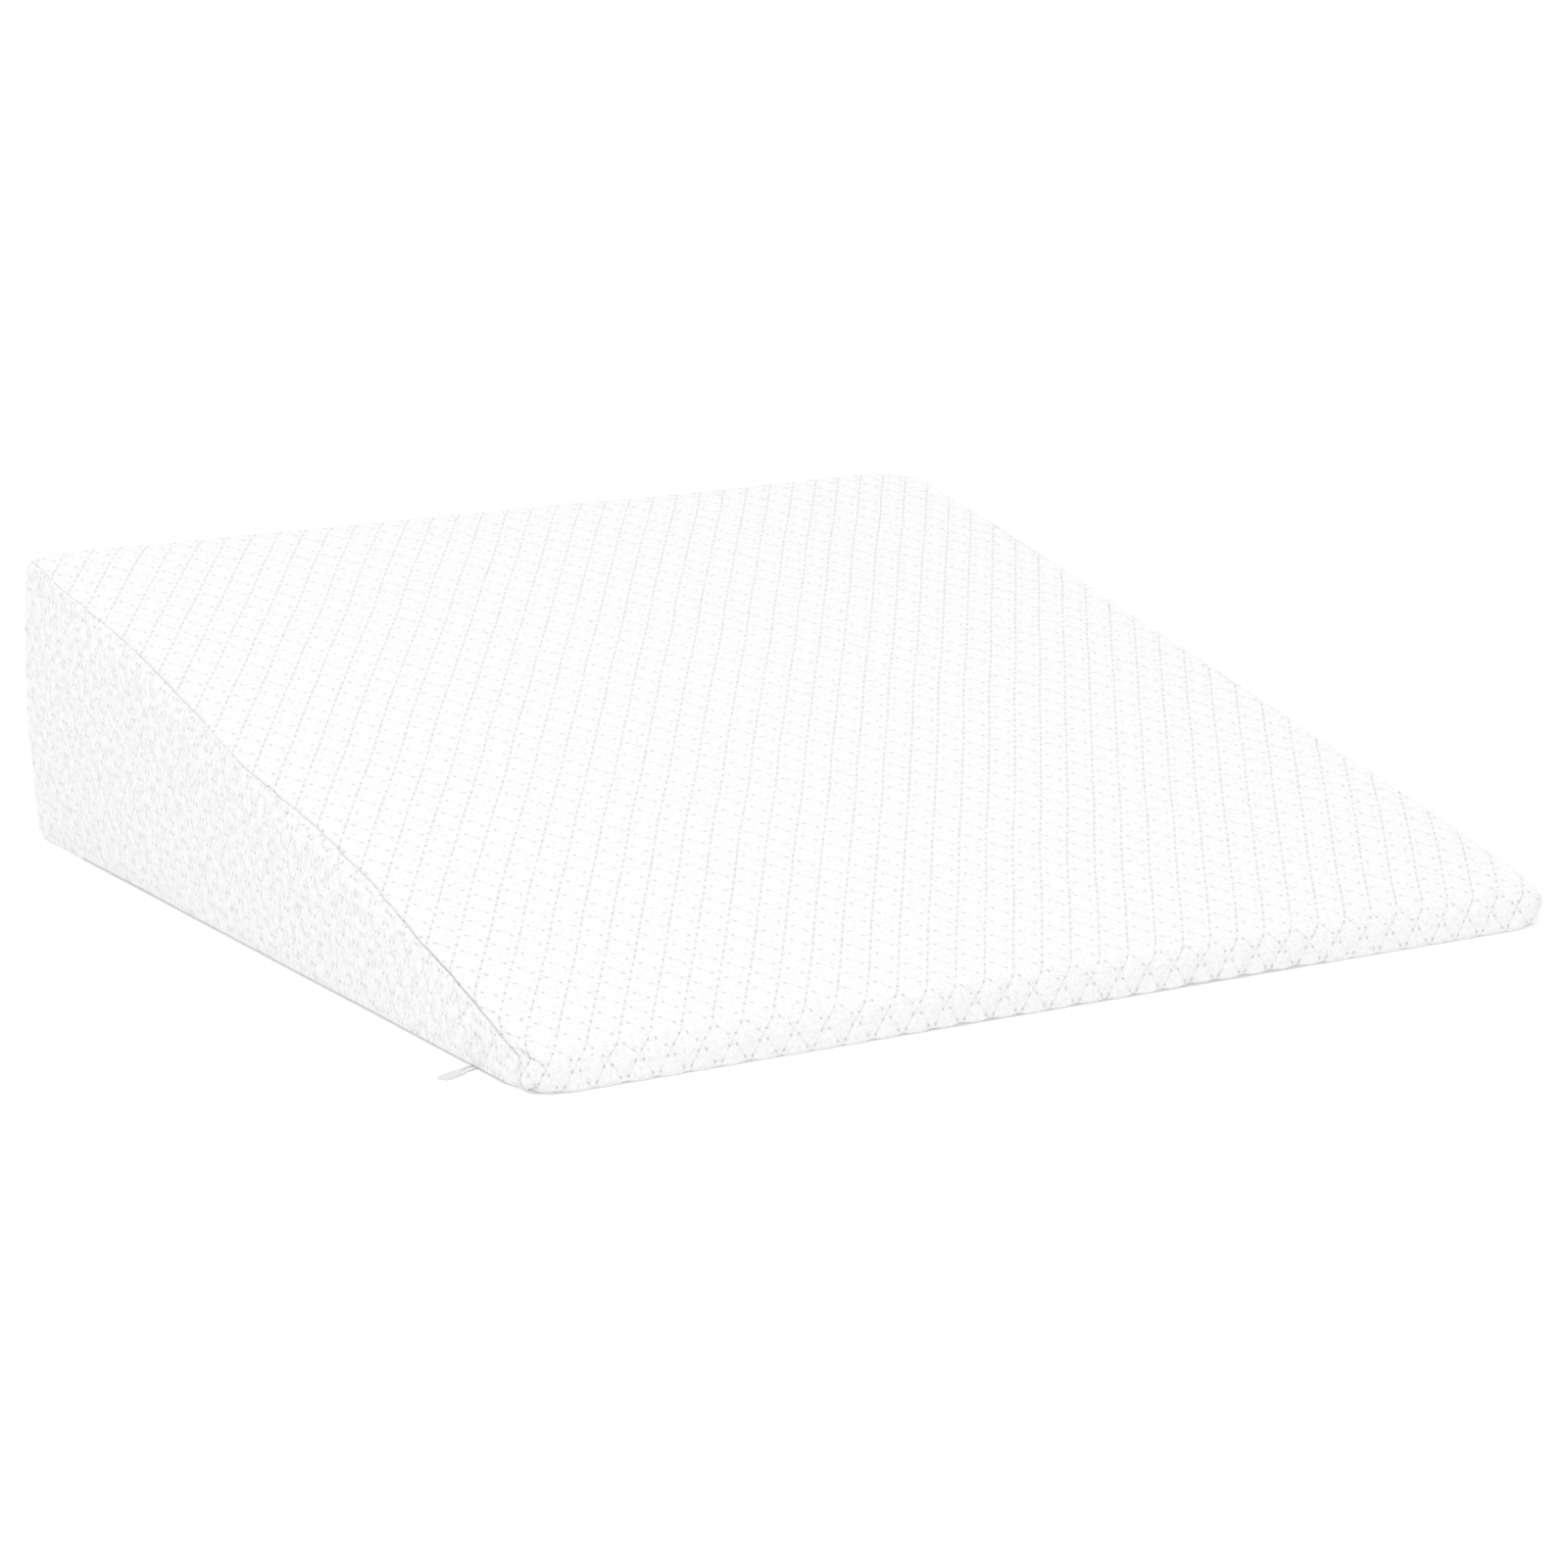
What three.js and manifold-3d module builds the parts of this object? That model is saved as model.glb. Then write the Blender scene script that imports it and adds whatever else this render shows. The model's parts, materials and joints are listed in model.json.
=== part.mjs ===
// Wedge cushion for a bed: a firm foam wedge with a memory foam layer on its slope, in a quilted knit
// cover that opens with a zip along the lower edge of its left side.
// Millimetres. +X runs to the right along the thin front edge, +Y towards the high back, +Z up.
// The origin is at the middle of the footprint, on the underside.
import * as THREE from "three";
import { mergeVertices } from "three/addons/utils/BufferGeometryUtils.js";
import Module from "manifold-3d";

const wasm = await Module();
wasm.setup();

// The whole cushion.
const WIDTH = 635;
const DEPTH = 686;
const BACK_HEIGHT = 178.6;
const FRONT_HEIGHT = 20.8;
const SLOPE_CROWN = 2;
const NOSE_RADIUS = 9;
const BACK_RADIUS = 7;
const FRONT_CORNER = 16;
const BACK_CORNER = 6;

// Between pieces that touch on the real object.
const GAP = 0.3;

// The cover.
const CLOTH = 3;
const SIDE_CLOTH = 2.6;
const WRAP_BASE = 0.6;
const RIGHT_SIDE_BASE = 0.6;
const LEFT_SIDE_BASE = 3.7;
const CURVE_STEPS = 28;
const ROUND_STEPS = 6;

// The foam.
const MEMORY_LAYER = 38;

// The zip, which faces down from a shallow rebate behind the left side's lower edge.
const ZIP_X = -310;
const ZIP_FRONT = 52 - DEPTH / 2;
const ZIP_BACK = 622 - DEPTH / 2;
const COIL_FRONT = 68.6 - DEPTH / 2;
const COIL_BACK = 600 - DEPTH / 2;
const COIL_HALF_GAP = 0.75;
const COIL_WIDTH = 2.25;
const COIL_BOTTOM = 5;
const COIL_TOP = 7;
const TAPE_THICK = 0.6;
const TAPE_BOTTOM = COIL_TOP + GAP;
const TAPE_INNER_EDGE = -292.5;
const TAPE_OUTER_TOP = 24;
const HEM_LEFT = -303;
const HEM_RIGHT = -292;
const HEM_TOP = 7;
const REBATE_RIGHT = -291.4;
const REBATE_TOP = 9.8;

// The slider and its pull tab.
const SLIDER_LENGTH = 12;
const SLIDER_FRONT = 69.3 - DEPTH / 2;
const SLIDER_HALF = 4.3;
const SLIDER_INNER_HALF = 3.1;
const SLIDER_PLATE = 1;
const SLIDER_LOWER = 3.6;
const SLIDER_UPPER = 8.3;
const FLANGE_WIDTH = 0.8;
const FLANGE_TOP = 6.8;
const POST_WIDTH = 0.9;
const CROWN_LEG_RADIUS = 1.1;
const CROWN_REACH = 7.5;
const CROWN_BAR_BOTTOM = 0.8;
const CROWN_BAR_TOP = 1.7;
const TAB_LENGTH = 34;
const TAB_THICK = 1;
const TAB_ROOT_HALF = 3;
const TAB_GRIP_HALF = 4;
const TAB_SLOT_HALF = 1.5;
const TAB_SLOT_END = 18;
const TAB_DROOP_DEG = 3;
const TAB_HEADING_DEG = 206;
const TAB_PIVOT_Z = 2.6;

const HALF_WIDTH = WIDTH / 2;
const HALF_DEPTH = DEPTH / 2;
const FOAM_HALF_WIDTH = HALF_WIDTH - SIDE_CLOTH - TAPE_THICK - 2 * GAP;
const PIVOT_Y = SLIDER_FRONT + 2;

const QUILT = new THREE.MeshStandardMaterial({ color: 0xf7f7f5, roughness: 0.9, metalness: 0 });
const BASE_FOAM = new THREE.MeshStandardMaterial({ color: 0xf1ecd9, roughness: 0.95, metalness: 0 });
const MEMORY_FOAM = new THREE.MeshStandardMaterial({ color: 0xf6f2e6, roughness: 0.9, metalness: 0 });
const BASE_CLOTH = new THREE.MeshStandardMaterial({ color: 0xf0f0ee, roughness: 0.92, metalness: 0 });
const ZIP_TAPE = new THREE.MeshStandardMaterial({ color: 0xf2f2f0, roughness: 0.85, metalness: 0 });
const ZIP_NYLON = new THREE.MeshStandardMaterial({ color: 0xf4f4f2, roughness: 0.4, metalness: 0 });
const ZIP_METAL = new THREE.MeshStandardMaterial({ color: 0xe9e9e7, roughness: 0.35, metalness: 0.1 });

// A named mesh with a material of its own.
function piece(name, geometry, material) {
  const mesh = new THREE.Mesh(geometry, material.clone());
  mesh.name = name;
  return mesh;
}

// A closed mesh as a solid that can be cut or joined.
function toSolid(geometry) {
  const bare = geometry.index ? geometry.toNonIndexed() : geometry.clone();
  bare.deleteAttribute("normal");
  bare.deleteAttribute("uv");
  const merged = mergeVertices(bare, 1e-3);
  return new wasm.Manifold(
    new wasm.Mesh({
      numProp: 3,
      vertProperties: new Float32Array(merged.attributes.position.array),
      triVerts: new Uint32Array(merged.index.array),
    }),
  );
}

// A solid as a geometry again.
function toGeometry(solid) {
  const mesh = solid.getMesh();
  const geometry = new THREE.BufferGeometry();
  geometry.setAttribute("position", new THREE.BufferAttribute(new Float32Array(mesh.vertProperties), 3));
  geometry.setIndex(new THREE.BufferAttribute(new Uint32Array(mesh.triVerts), 1));
  geometry.computeVertexNormals();
  return geometry;
}

function join(geometries) {
  return toGeometry(geometries.map(toSolid).reduce((whole, next) => whole.add(next)));
}

function common(geometries) {
  return toGeometry(geometries.map(toSolid).reduce((whole, next) => whole.intersect(next)));
}

function cut(geometry, tools) {
  return toGeometry(tools.map(toSolid).reduce((left, tool) => left.subtract(tool), toSolid(geometry)));
}

// An outline in the side view, (y, z), run along X.
function alongX(points, x0, x1) {
  const outline = new THREE.Shape(points);
  const geometry = new THREE.ExtrudeGeometry(outline, { depth: x1 - x0, bevelEnabled: false });
  const turn = new THREE.Matrix4().makeBasis(
    new THREE.Vector3(0, 1, 0),
    new THREE.Vector3(0, 0, 1),
    new THREE.Vector3(1, 0, 0),
  );
  return geometry.applyMatrix4(turn).translate(x0, 0, 0);
}

// An outline in the front view, (x, z), run along Y.
function alongY(points, y0, y1) {
  const shape = new THREE.Shape(points.map(([x, z]) => new THREE.Vector2(x, z)));
  const geometry = new THREE.ExtrudeGeometry(shape, { depth: y1 - y0, bevelEnabled: false });
  return geometry.rotateX(Math.PI / 2).translate(0, y1, 0);
}

// A box from its lowest and highest corners.
function boxBetween(low, high) {
  const geometry = new THREE.BoxGeometry(high[0] - low[0], high[1] - low[1], high[2] - low[2]);
  return geometry.translate((low[0] + high[0]) / 2, (low[1] + high[1]) / 2, (low[2] + high[2]) / 2);
}

// The line over the wedge from the front foot to the back foot, moved in from the outside by inset.
function overTop(inset, baseZ) {
  const front = -HALF_DEPTH + inset;
  const back = HALF_DEPTH - inset;
  const low = FRONT_HEIGHT - inset;
  const high = BACK_HEIGHT - inset;
  const rise = (high - low) / (back - front);
  const nose = Math.max(NOSE_RADIUS - inset, 1);
  const corner = Math.max(BACK_RADIUS - inset, 1);
  const path = new THREE.Path();
  path.moveTo(front, baseZ);
  path.lineTo(front, low - nose);
  path.quadraticCurveTo(front, low, front + nose, low + nose * rise);
  path.quadraticCurveTo(
    (front + back) / 2,
    (low + high) / 2 + 2 * SLOPE_CROWN,
    back - corner,
    high - corner * rise,
  );
  path.quadraticCurveTo(back, high, back, high - corner);
  path.lineTo(back, baseZ);
  const points = [];
  path.curves.forEach((curve, i) => {
    const straight = curve.isLineCurve;
    const steps = straight ? 1 : i === 2 ? CURVE_STEPS : ROUND_STEPS;
    points.push(...curve.getPoints(steps).slice(i ? 1 : 0));
  });
  return points;
}

// An outline has to run anticlockwise, and the line over the top runs clockwise.
function anticlockwise(points) {
  return THREE.ShapeUtils.isClockWise(points) ? [...points].reverse() : points;
}

// An upright block with the cushion's plan: rounded front corners, and tighter ones at the back.
function planBlock(insetX, insetY) {
  const right = HALF_WIDTH - insetX;
  const back = HALF_DEPTH - insetY;
  const front = Math.max(FRONT_CORNER - insetY, 1);
  const rear = Math.max(BACK_CORNER - insetY, 1);
  const shape = new THREE.Shape();
  shape.absarc(-right + front, -back + front, front, Math.PI, 1.5 * Math.PI, false);
  shape.absarc(right - front, -back + front, front, 1.5 * Math.PI, 2 * Math.PI, false);
  shape.absarc(right - rear, back - rear, rear, 0, 0.5 * Math.PI, false);
  shape.absarc(-right + rear, back - rear, rear, 0.5 * Math.PI, Math.PI, false);
  const depth = BACK_HEIGHT + 20;
  const settings = { depth, bevelEnabled: false, curveSegments: 6 };
  return new THREE.ExtrudeGeometry(shape, settings).translate(0, 0, -10);
}

// The whole wedge as one block, moved in from the outside and cut off level at baseZ.
function wedge(insetX, insetY, baseZ) {
  const half = HALF_WIDTH - insetX;
  return common([alongX(anticlockwise(overTop(insetY, baseZ)), -half, half), planBlock(insetX, insetY)]);
}

// The room that the zip and its slider need inside the left side's lower edge.
function zipRebate() {
  return boxBetween([-HALF_WIDTH - 5, -HALF_DEPTH - 5, -5], [REBATE_RIGHT, HALF_DEPTH + 5, REBATE_TOP]);
}

// The block of foam that fills the cover, before it is split into base and layer.
function foamBlock() {
  const inset = CLOTH + GAP;
  return cut(wedge(HALF_WIDTH - FOAM_HALF_WIDTH, inset, inset), [zipRebate()]);
}

// Everything that lies deeper than depth below the slope.
function belowSlope(depth) {
  const slope = overTop(CLOTH, 0).filter((p) => Math.abs(p.x) < HALF_DEPTH - CLOTH - 1);
  const first = slope[0];
  const last = slope[slope.length - 1];
  const rise = (last.y - first.y) / (last.x - first.x);
  const reach = 40;
  const line = [
    new THREE.Vector2(first.x - reach, first.y - reach * rise),
    ...slope,
    new THREE.Vector2(last.x + reach, last.y + reach * rise),
  ].map((p) => new THREE.Vector2(p.x, p.y - depth));
  const deep = -2 * BACK_HEIGHT;
  const corners = [new THREE.Vector2(last.x + reach, deep), new THREE.Vector2(first.x - reach, deep)];
  const outline = [...line, ...corners];
  return alongX(anticlockwise(outline), -WIDTH, WIDTH);
}

// Firm wedge of upholstery foam, which runs out to nothing behind the front edge.
function foamBase() {
  return common([foamBlock(), belowSlope(MEMORY_LAYER + GAP)]);
}

// Memory foam laminated on the slope; ahead of the base's front edge it fills the whole height.
function memoryLayer() {
  return cut(foamBlock(), [belowSlope(MEMORY_LAYER)]);
}

// The quilted cover without its bottom, still in one piece.
function coverShell() {
  return cut(wedge(0, 0, WRAP_BASE), [wedge(SIDE_CLOTH, CLOTH, WRAP_BASE - CLOTH)]);
}

// The part of the cover that the side panels take: all of the side behind the front corner.
function sideZone(side, gap) {
  const inside = side * (HALF_WIDTH - SIDE_CLOTH - gap);
  const outside = side * (HALF_WIDTH + 5);
  const low = [Math.min(inside, outside), -HALF_DEPTH + FRONT_CORNER + GAP - gap, -5];
  return boxBetween(low, [Math.max(inside, outside), HALF_DEPTH + 5, BACK_HEIGHT + 5]);
}

// One strip of quilted knit goes up the front, over the slope and down the back, and turns the front corners.
function wrapPanel() {
  return cut(coverShell(), [sideZone(-1, GAP), sideZone(1, GAP)]);
}

// A quilted side panel, cut to the wedge's outline.
function sidePanel(side) {
  const base = side < 0 ? LEFT_SIDE_BASE : RIGHT_SIDE_BASE;
  const under = boxBetween([-WIDTH, -DEPTH, -5], [WIDTH, DEPTH, base]);
  return cut(common([coverShell(), sideZone(side, 0)]), [under]);
}

// The plain cloth underneath, with a folded hem beside the zip.
function bottomPanel() {
  const right = HALF_WIDTH - SIDE_CLOTH - GAP;
  const section = [
    [HEM_LEFT, 0],
    [right, 0],
    [right, CLOTH],
    [HEM_RIGHT, CLOTH],
    [HEM_RIGHT, HEM_TOP],
    [HEM_LEFT, HEM_TOP],
  ];
  const plan = planBlock(SIDE_CLOTH + GAP, CLOTH + GAP);
  return common([alongY(section, -HALF_DEPTH, HALF_DEPTH), plan]);
}

// The outer tape turns up behind the side panel, and the inner tape lies on the hem.
function outerTape() {
  const inner = ZIP_X - COIL_HALF_GAP;
  const outer = -HALF_WIDTH + SIDE_CLOTH + GAP;
  const section = [
    [outer, TAPE_BOTTOM],
    [inner, TAPE_BOTTOM],
    [inner, TAPE_BOTTOM + TAPE_THICK],
    [outer + TAPE_THICK, TAPE_BOTTOM + TAPE_THICK],
    [outer + TAPE_THICK, REBATE_TOP - GAP],
    [outer + TAPE_THICK, TAPE_OUTER_TOP],
    [outer, TAPE_OUTER_TOP],
  ];
  return alongY(section, ZIP_FRONT, ZIP_BACK);
}

function innerTape() {
  return boxBetween(
    [ZIP_X + COIL_HALF_GAP, ZIP_FRONT, TAPE_BOTTOM],
    [TAPE_INNER_EDGE, ZIP_BACK, TAPE_BOTTOM + TAPE_THICK],
  );
}

// One row of coil as a strip with its corners taken off; the slot between the two rows is where they mesh
// and where the slider's post runs.
function coil(side) {
  const near = ZIP_X + side * COIL_HALF_GAP;
  const far = near + side * COIL_WIDTH;
  const chamfer = 0.5;
  const section = [
    [near, COIL_BOTTOM + chamfer],
    [near + side * chamfer, COIL_BOTTOM],
    [far - side * chamfer, COIL_BOTTOM],
    [far, COIL_BOTTOM + chamfer],
    [far, COIL_TOP],
    [near, COIL_TOP],
  ];
  return alongY(side > 0 ? section : section.reverse(), COIL_FRONT, COIL_BACK);
}

// The two small stops at the closed end, and the box that joins the rows at the open end.
function topStop(side) {
  const near = ZIP_X + side * COIL_HALF_GAP;
  const far = near + side * (COIL_WIDTH + 0.2);
  const low = [Math.min(near, far), COIL_FRONT - 3.4, COIL_BOTTOM - 0.2];
  return boxBetween(low, [Math.max(near, far), COIL_FRONT - 0.3, COIL_TOP]);
}

function bottomStop() {
  const half = COIL_HALF_GAP + COIL_WIDTH + 0.3;
  return boxBetween(
    [ZIP_X - half, COIL_BACK + GAP, COIL_BOTTOM - 0.3],
    [ZIP_X + half, COIL_BACK + GAP + 4, COIL_TOP],
  );
}

// A plate of the slider in plan: full width at the mouth, tapered towards the tail.
function sliderPlate(half, bottom) {
  const tail = half * 0.72;
  const shape = new THREE.Shape();
  shape.moveTo(-half * 0.6, 0);
  shape.lineTo(half * 0.6, 0);
  shape.quadraticCurveTo(half, 0, half, 2.5);
  shape.lineTo(half, 5);
  shape.quadraticCurveTo(half, 7, tail, SLIDER_LENGTH - 1);
  shape.lineTo(tail - 1, SLIDER_LENGTH);
  shape.lineTo(-tail + 1, SLIDER_LENGTH);
  shape.lineTo(-tail, SLIDER_LENGTH - 1);
  shape.quadraticCurveTo(-half, 7, -half, 5);
  shape.lineTo(-half, 2.5);
  shape.quadraticCurveTo(-half, 0, -half * 0.6, 0);
  const settings = { depth: SLIDER_PLATE, bevelEnabled: false, curveSegments: 6 };
  const geometry = new THREE.ExtrudeGeometry(shape, settings);
  return geometry.translate(ZIP_X, SLIDER_FRONT, bottom);
}

function crownLeg(y) {
  const height = SLIDER_LOWER + 0.2 - CROWN_BAR_BOTTOM;
  const leg = new THREE.CylinderGeometry(CROWN_LEG_RADIUS, CROWN_LEG_RADIUS, height, 16);
  return leg.rotateX(Math.PI / 2).translate(ZIP_X, y, CROWN_BAR_BOTTOM + height / 2);
}

function slider() {
  const flanges = [-1, 1].map((side) => {
    const outside = ZIP_X + side * (SLIDER_HALF - 0.1);
    const inside = outside - side * FLANGE_WIDTH;
    return boxBetween(
      [Math.min(outside, inside), SLIDER_FRONT + 2.6, SLIDER_LOWER + 0.5],
      [Math.max(outside, inside), SLIDER_FRONT + 5, FLANGE_TOP],
    );
  });
  const post = boxBetween(
    [ZIP_X - POST_WIDTH / 2, SLIDER_FRONT + 0.2, SLIDER_LOWER + 0.5],
    [ZIP_X + POST_WIDTH / 2, SLIDER_FRONT + 3.2, SLIDER_UPPER + 0.5],
  );
  const bar = boxBetween(
    [ZIP_X - CROWN_LEG_RADIUS, PIVOT_Y, CROWN_BAR_BOTTOM],
    [ZIP_X + CROWN_LEG_RADIUS, PIVOT_Y + CROWN_REACH, CROWN_BAR_TOP],
  );
  return join([
    sliderPlate(SLIDER_HALF, SLIDER_LOWER),
    sliderPlate(SLIDER_INNER_HALF, SLIDER_UPPER),
    post,
    ...flanges,
    crownLeg(PIVOT_Y),
    crownLeg(PIVOT_Y + CROWN_REACH),
    bar,
  ]);
}

// A flat tab with a long eye at its root, drawn pointing along +X from its pivot.
function pullTab() {
  const shape = new THREE.Shape();
  const neckEnd = TAB_SLOT_END + 1;
  const gripStart = neckEnd + 4;
  const round = 2.5;
  shape.absarc(0, 0, TAB_ROOT_HALF, Math.PI / 2, (3 * Math.PI) / 2, false);
  shape.lineTo(neckEnd, -TAB_ROOT_HALF);
  shape.lineTo(gripStart, -TAB_GRIP_HALF);
  shape.lineTo(TAB_LENGTH - round, -TAB_GRIP_HALF);
  shape.absarc(TAB_LENGTH - round, -TAB_GRIP_HALF + round, round, -Math.PI / 2, 0, false);
  shape.absarc(TAB_LENGTH - round, TAB_GRIP_HALF - round, round, 0, Math.PI / 2, false);
  shape.lineTo(gripStart, TAB_GRIP_HALF);
  shape.lineTo(neckEnd, TAB_ROOT_HALF);
  const slot = new THREE.Path();
  slot.absarc(0, 0, TAB_SLOT_HALF, (3 * Math.PI) / 2, Math.PI / 2, true);
  slot.absarc(TAB_SLOT_END - TAB_SLOT_HALF, 0, TAB_SLOT_HALF, Math.PI / 2, -Math.PI / 2, true);
  shape.holes.push(slot);
  const settings = { depth: TAB_THICK, bevelEnabled: false, curveSegments: 8 };
  const geometry = new THREE.ExtrudeGeometry(shape, settings);
  geometry.translate(0, 0, -TAB_THICK / 2);
  geometry.rotateY(THREE.MathUtils.degToRad(TAB_DROOP_DEG));
  return geometry;
}

const cushion = new THREE.Group();

cushion.add(piece("foam_base_wedge", foamBase(), BASE_FOAM));
cushion.add(piece("memory_foam_layer", memoryLayer(), MEMORY_FOAM));
cushion.add(piece("cover_wrap_panel", wrapPanel(), QUILT));
cushion.add(piece("cover_side_panel_left", sidePanel(-1), QUILT));
cushion.add(piece("cover_side_panel_right", sidePanel(1), QUILT));
cushion.add(piece("cover_bottom_panel", bottomPanel(), BASE_CLOTH));
cushion.add(piece("zip_tape_outer", outerTape(), ZIP_TAPE));
cushion.add(piece("zip_tape_inner", innerTape(), ZIP_TAPE));
cushion.add(piece("zip_coil_outer", coil(-1), ZIP_NYLON));
cushion.add(piece("zip_coil_inner", coil(1), ZIP_NYLON));
cushion.add(piece("zip_top_stop_outer", topStop(-1), ZIP_METAL));
cushion.add(piece("zip_top_stop_inner", topStop(1), ZIP_METAL));
cushion.add(piece("zip_bottom_stop", bottomStop(), ZIP_METAL));
cushion.add(piece("zip_slider", slider(), ZIP_METAL));

const tab = piece("zip_pull_tab", pullTab(), ZIP_METAL);
tab.rotation.z = THREE.MathUtils.degToRad(TAB_HEADING_DEG);
tab.position.set(ZIP_X, PIVOT_Y, TAB_PIVOT_Z);
cushion.add(tab);

export default cushion;
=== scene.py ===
"""Bed wedge cushion: a foam wedge in a diamond-quilted knit cover that opens with a zip.

All lengths are metres in the row frame: +X to the right along the thin front edge, +Y towards the high
back, +Z up, with the origin at the middle of the underside.
"""

import json
import logging
import math
from dataclasses import dataclass
from enum import Enum

import bpy
import numpy as np
from mathutils import Matrix, Vector


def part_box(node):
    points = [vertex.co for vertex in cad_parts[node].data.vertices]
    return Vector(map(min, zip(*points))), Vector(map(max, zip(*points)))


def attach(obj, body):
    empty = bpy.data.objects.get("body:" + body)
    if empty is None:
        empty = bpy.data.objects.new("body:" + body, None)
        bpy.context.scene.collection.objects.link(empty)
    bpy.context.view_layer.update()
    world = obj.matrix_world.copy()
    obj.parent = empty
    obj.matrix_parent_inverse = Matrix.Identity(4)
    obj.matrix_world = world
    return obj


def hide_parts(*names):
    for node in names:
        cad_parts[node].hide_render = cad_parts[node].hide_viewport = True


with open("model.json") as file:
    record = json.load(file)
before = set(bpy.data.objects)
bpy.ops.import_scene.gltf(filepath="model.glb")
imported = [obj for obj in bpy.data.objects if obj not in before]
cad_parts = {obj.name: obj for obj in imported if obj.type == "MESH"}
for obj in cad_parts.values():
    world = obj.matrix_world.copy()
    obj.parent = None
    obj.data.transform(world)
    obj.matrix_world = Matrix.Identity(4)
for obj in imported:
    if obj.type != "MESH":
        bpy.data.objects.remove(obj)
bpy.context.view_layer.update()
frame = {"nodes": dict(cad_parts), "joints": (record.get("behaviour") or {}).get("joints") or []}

MM = 0.001
LOG = logging.getLogger("wedge_cushion")

Array = np.ndarray
Socket = bpy.types.NodeSocket
Material = bpy.types.Material
Piece = bpy.types.Object
Span = tuple[float, float]


# Small helpers ------------------------------------------------------------------------------------


def linear(colour: str) -> tuple[float, float, float, float]:
    """Turn an sRGB hex colour such as "#f4f4f2" into linear RGBA."""
    parts = [int(colour[i : i + 2], 16) / 255 for i in (1, 3, 5)]
    flat = [c / 12.92 if c <= 0.04045 else ((c + 0.055) / 1.055) ** 2.4 for c in parts]
    return (flat[0], flat[1], flat[2], 1.0)


class Look:
    """A material in the making: its node tree, its Principled shader and short ways to add nodes."""

    def __init__(self, name: str) -> None:
        """Start from an output and a Principled shader."""
        self.material = bpy.data.materials.new(name)
        self.material.use_nodes = True
        self.tree = self.material.node_tree
        self.tree.nodes.clear()
        self.shader = self.node("BsdfPrincipled")
        self.node("OutputMaterial", {"Surface": self.shader.outputs[0]})

    def feed(self, socket: Socket, value) -> None:
        """Link a socket to another one, or set it to a constant."""
        if isinstance(value, Socket):
            self.tree.links.new(value, socket)
        else:
            socket.default_value = value

    def node(self, kind: str, links: dict | None = None, **settings) -> bpy.types.Node:
        """Add one node, set it up and link its inputs.

        Args:
            kind: The shader node's type, such as "Math".
            links: Input name or index to the output socket, or the constant, that feeds it.
            settings: Properties of the node itself, such as operation="ADD".

        Returns:
            The new node.
        """
        node = self.tree.nodes.new(f"ShaderNode{kind}")
        for name, value in settings.items():
            setattr(node, name, value)
        for key, value in (links or {}).items():
            self.feed(node.inputs[key], value)
        return node

    def math(self, operation: str, *values, clamp: bool = False) -> Socket:
        """Add a Math node on sockets or numbers and return its result."""
        return self.node("Math", dict(enumerate(values)), operation=operation, use_clamp=clamp).outputs[0]

    def fade(self, value: Socket, full: float, gone: float) -> Socket:
        """Give 1 below full and 0 above gone, with a smooth step between them."""
        links = {"Value": value, "From Min": full, "From Max": gone, "To Min": 1.0, "To Max": 0.0}
        return self.node("MapRange", links, interpolation_type="SMOOTHSTEP").outputs[0]

    def noise(self, place: Socket, **inputs: float) -> Socket:
        """Add a Noise texture at a place and return its strength."""
        return self.node("TexNoise", {"Vector": place, **inputs}).outputs["Fac"]

    def weave(self, links: dict) -> Socket:
        """Cross two wave textures, one along X and one along Y."""
        waves = [self.node("TexWave", links, bands_direction=axis).outputs["Fac"] for axis in "XY"]
        return self.math("MULTIPLY", *waves)

    def mix(self, share: Socket, first, second) -> Socket:
        """Blend two colours, each a socket or linear RGBA, by a share from 0 to 1."""
        return self.node("Mix", {0: share, 6: first, 7: second}, data_type="RGBA").outputs[2]

    def dress(self, bump: dict | None = None, **inputs) -> Material:
        """Feed the Principled shader.

        Args:
            bump: The Bump node's inputs, if the surface has relief.
            inputs: Sockets or constants by input name, with _ for each space.

        Returns:
            The finished material.
        """
        if bump:
            inputs["Normal"] = self.node("Bump", bump).outputs[0]
        for name, value in inputs.items():
            self.feed(self.shader.inputs[name.replace("_", " ")], value)
        return self.material


def new_object(name: str, data: bpy.types.ID) -> Piece:
    """Make an object in the scene from its mesh, lamp or camera."""
    made = bpy.data.objects.new(name, data)
    bpy.context.scene.collection.objects.link(made)
    return made


def quads_of(index: Array) -> Array:
    """List the quads of a grid of point numbers."""
    return np.stack([index[:-1, :-1], index[:-1, 1:], index[1:, 1:], index[1:, :-1]], -1).reshape(-1, 4)


def mesh_object(name: str, points: Array, faces: list, uv_name: str = "", uv: Array | None = None) -> Piece:
    """Make a smooth mesh object from points, in a list or a grid, with the UV map's place for each point."""
    mesh = bpy.data.meshes.new(name)
    mesh.from_pydata(points.reshape(-1, 3).tolist(), [], faces)
    mesh.polygons.foreach_set("use_smooth", [True] * len(mesh.polygons))
    if uv is not None:
        loops = np.zeros(len(mesh.loops), np.int32)
        mesh.loops.foreach_get("vertex_index", loops)
        layer = mesh.uv_layers.new(name=uv_name)
        layer.data.foreach_set("uv", uv.reshape(-1, 2)[loops].astype(np.float32).ravel())
    return new_object(name, mesh)


def deselect_all() -> None:
    """Leave edit mode if it is on, and select nothing."""
    if bpy.context.object and bpy.context.object.mode != "OBJECT":
        bpy.ops.object.mode_set(mode="OBJECT")
    bpy.ops.object.select_all(action="DESELECT")


def make_active(piece: Piece) -> None:
    """Select one object and make it the active one."""
    deselect_all()
    piece.select_set(True)
    bpy.context.view_layer.objects.active = piece


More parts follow.
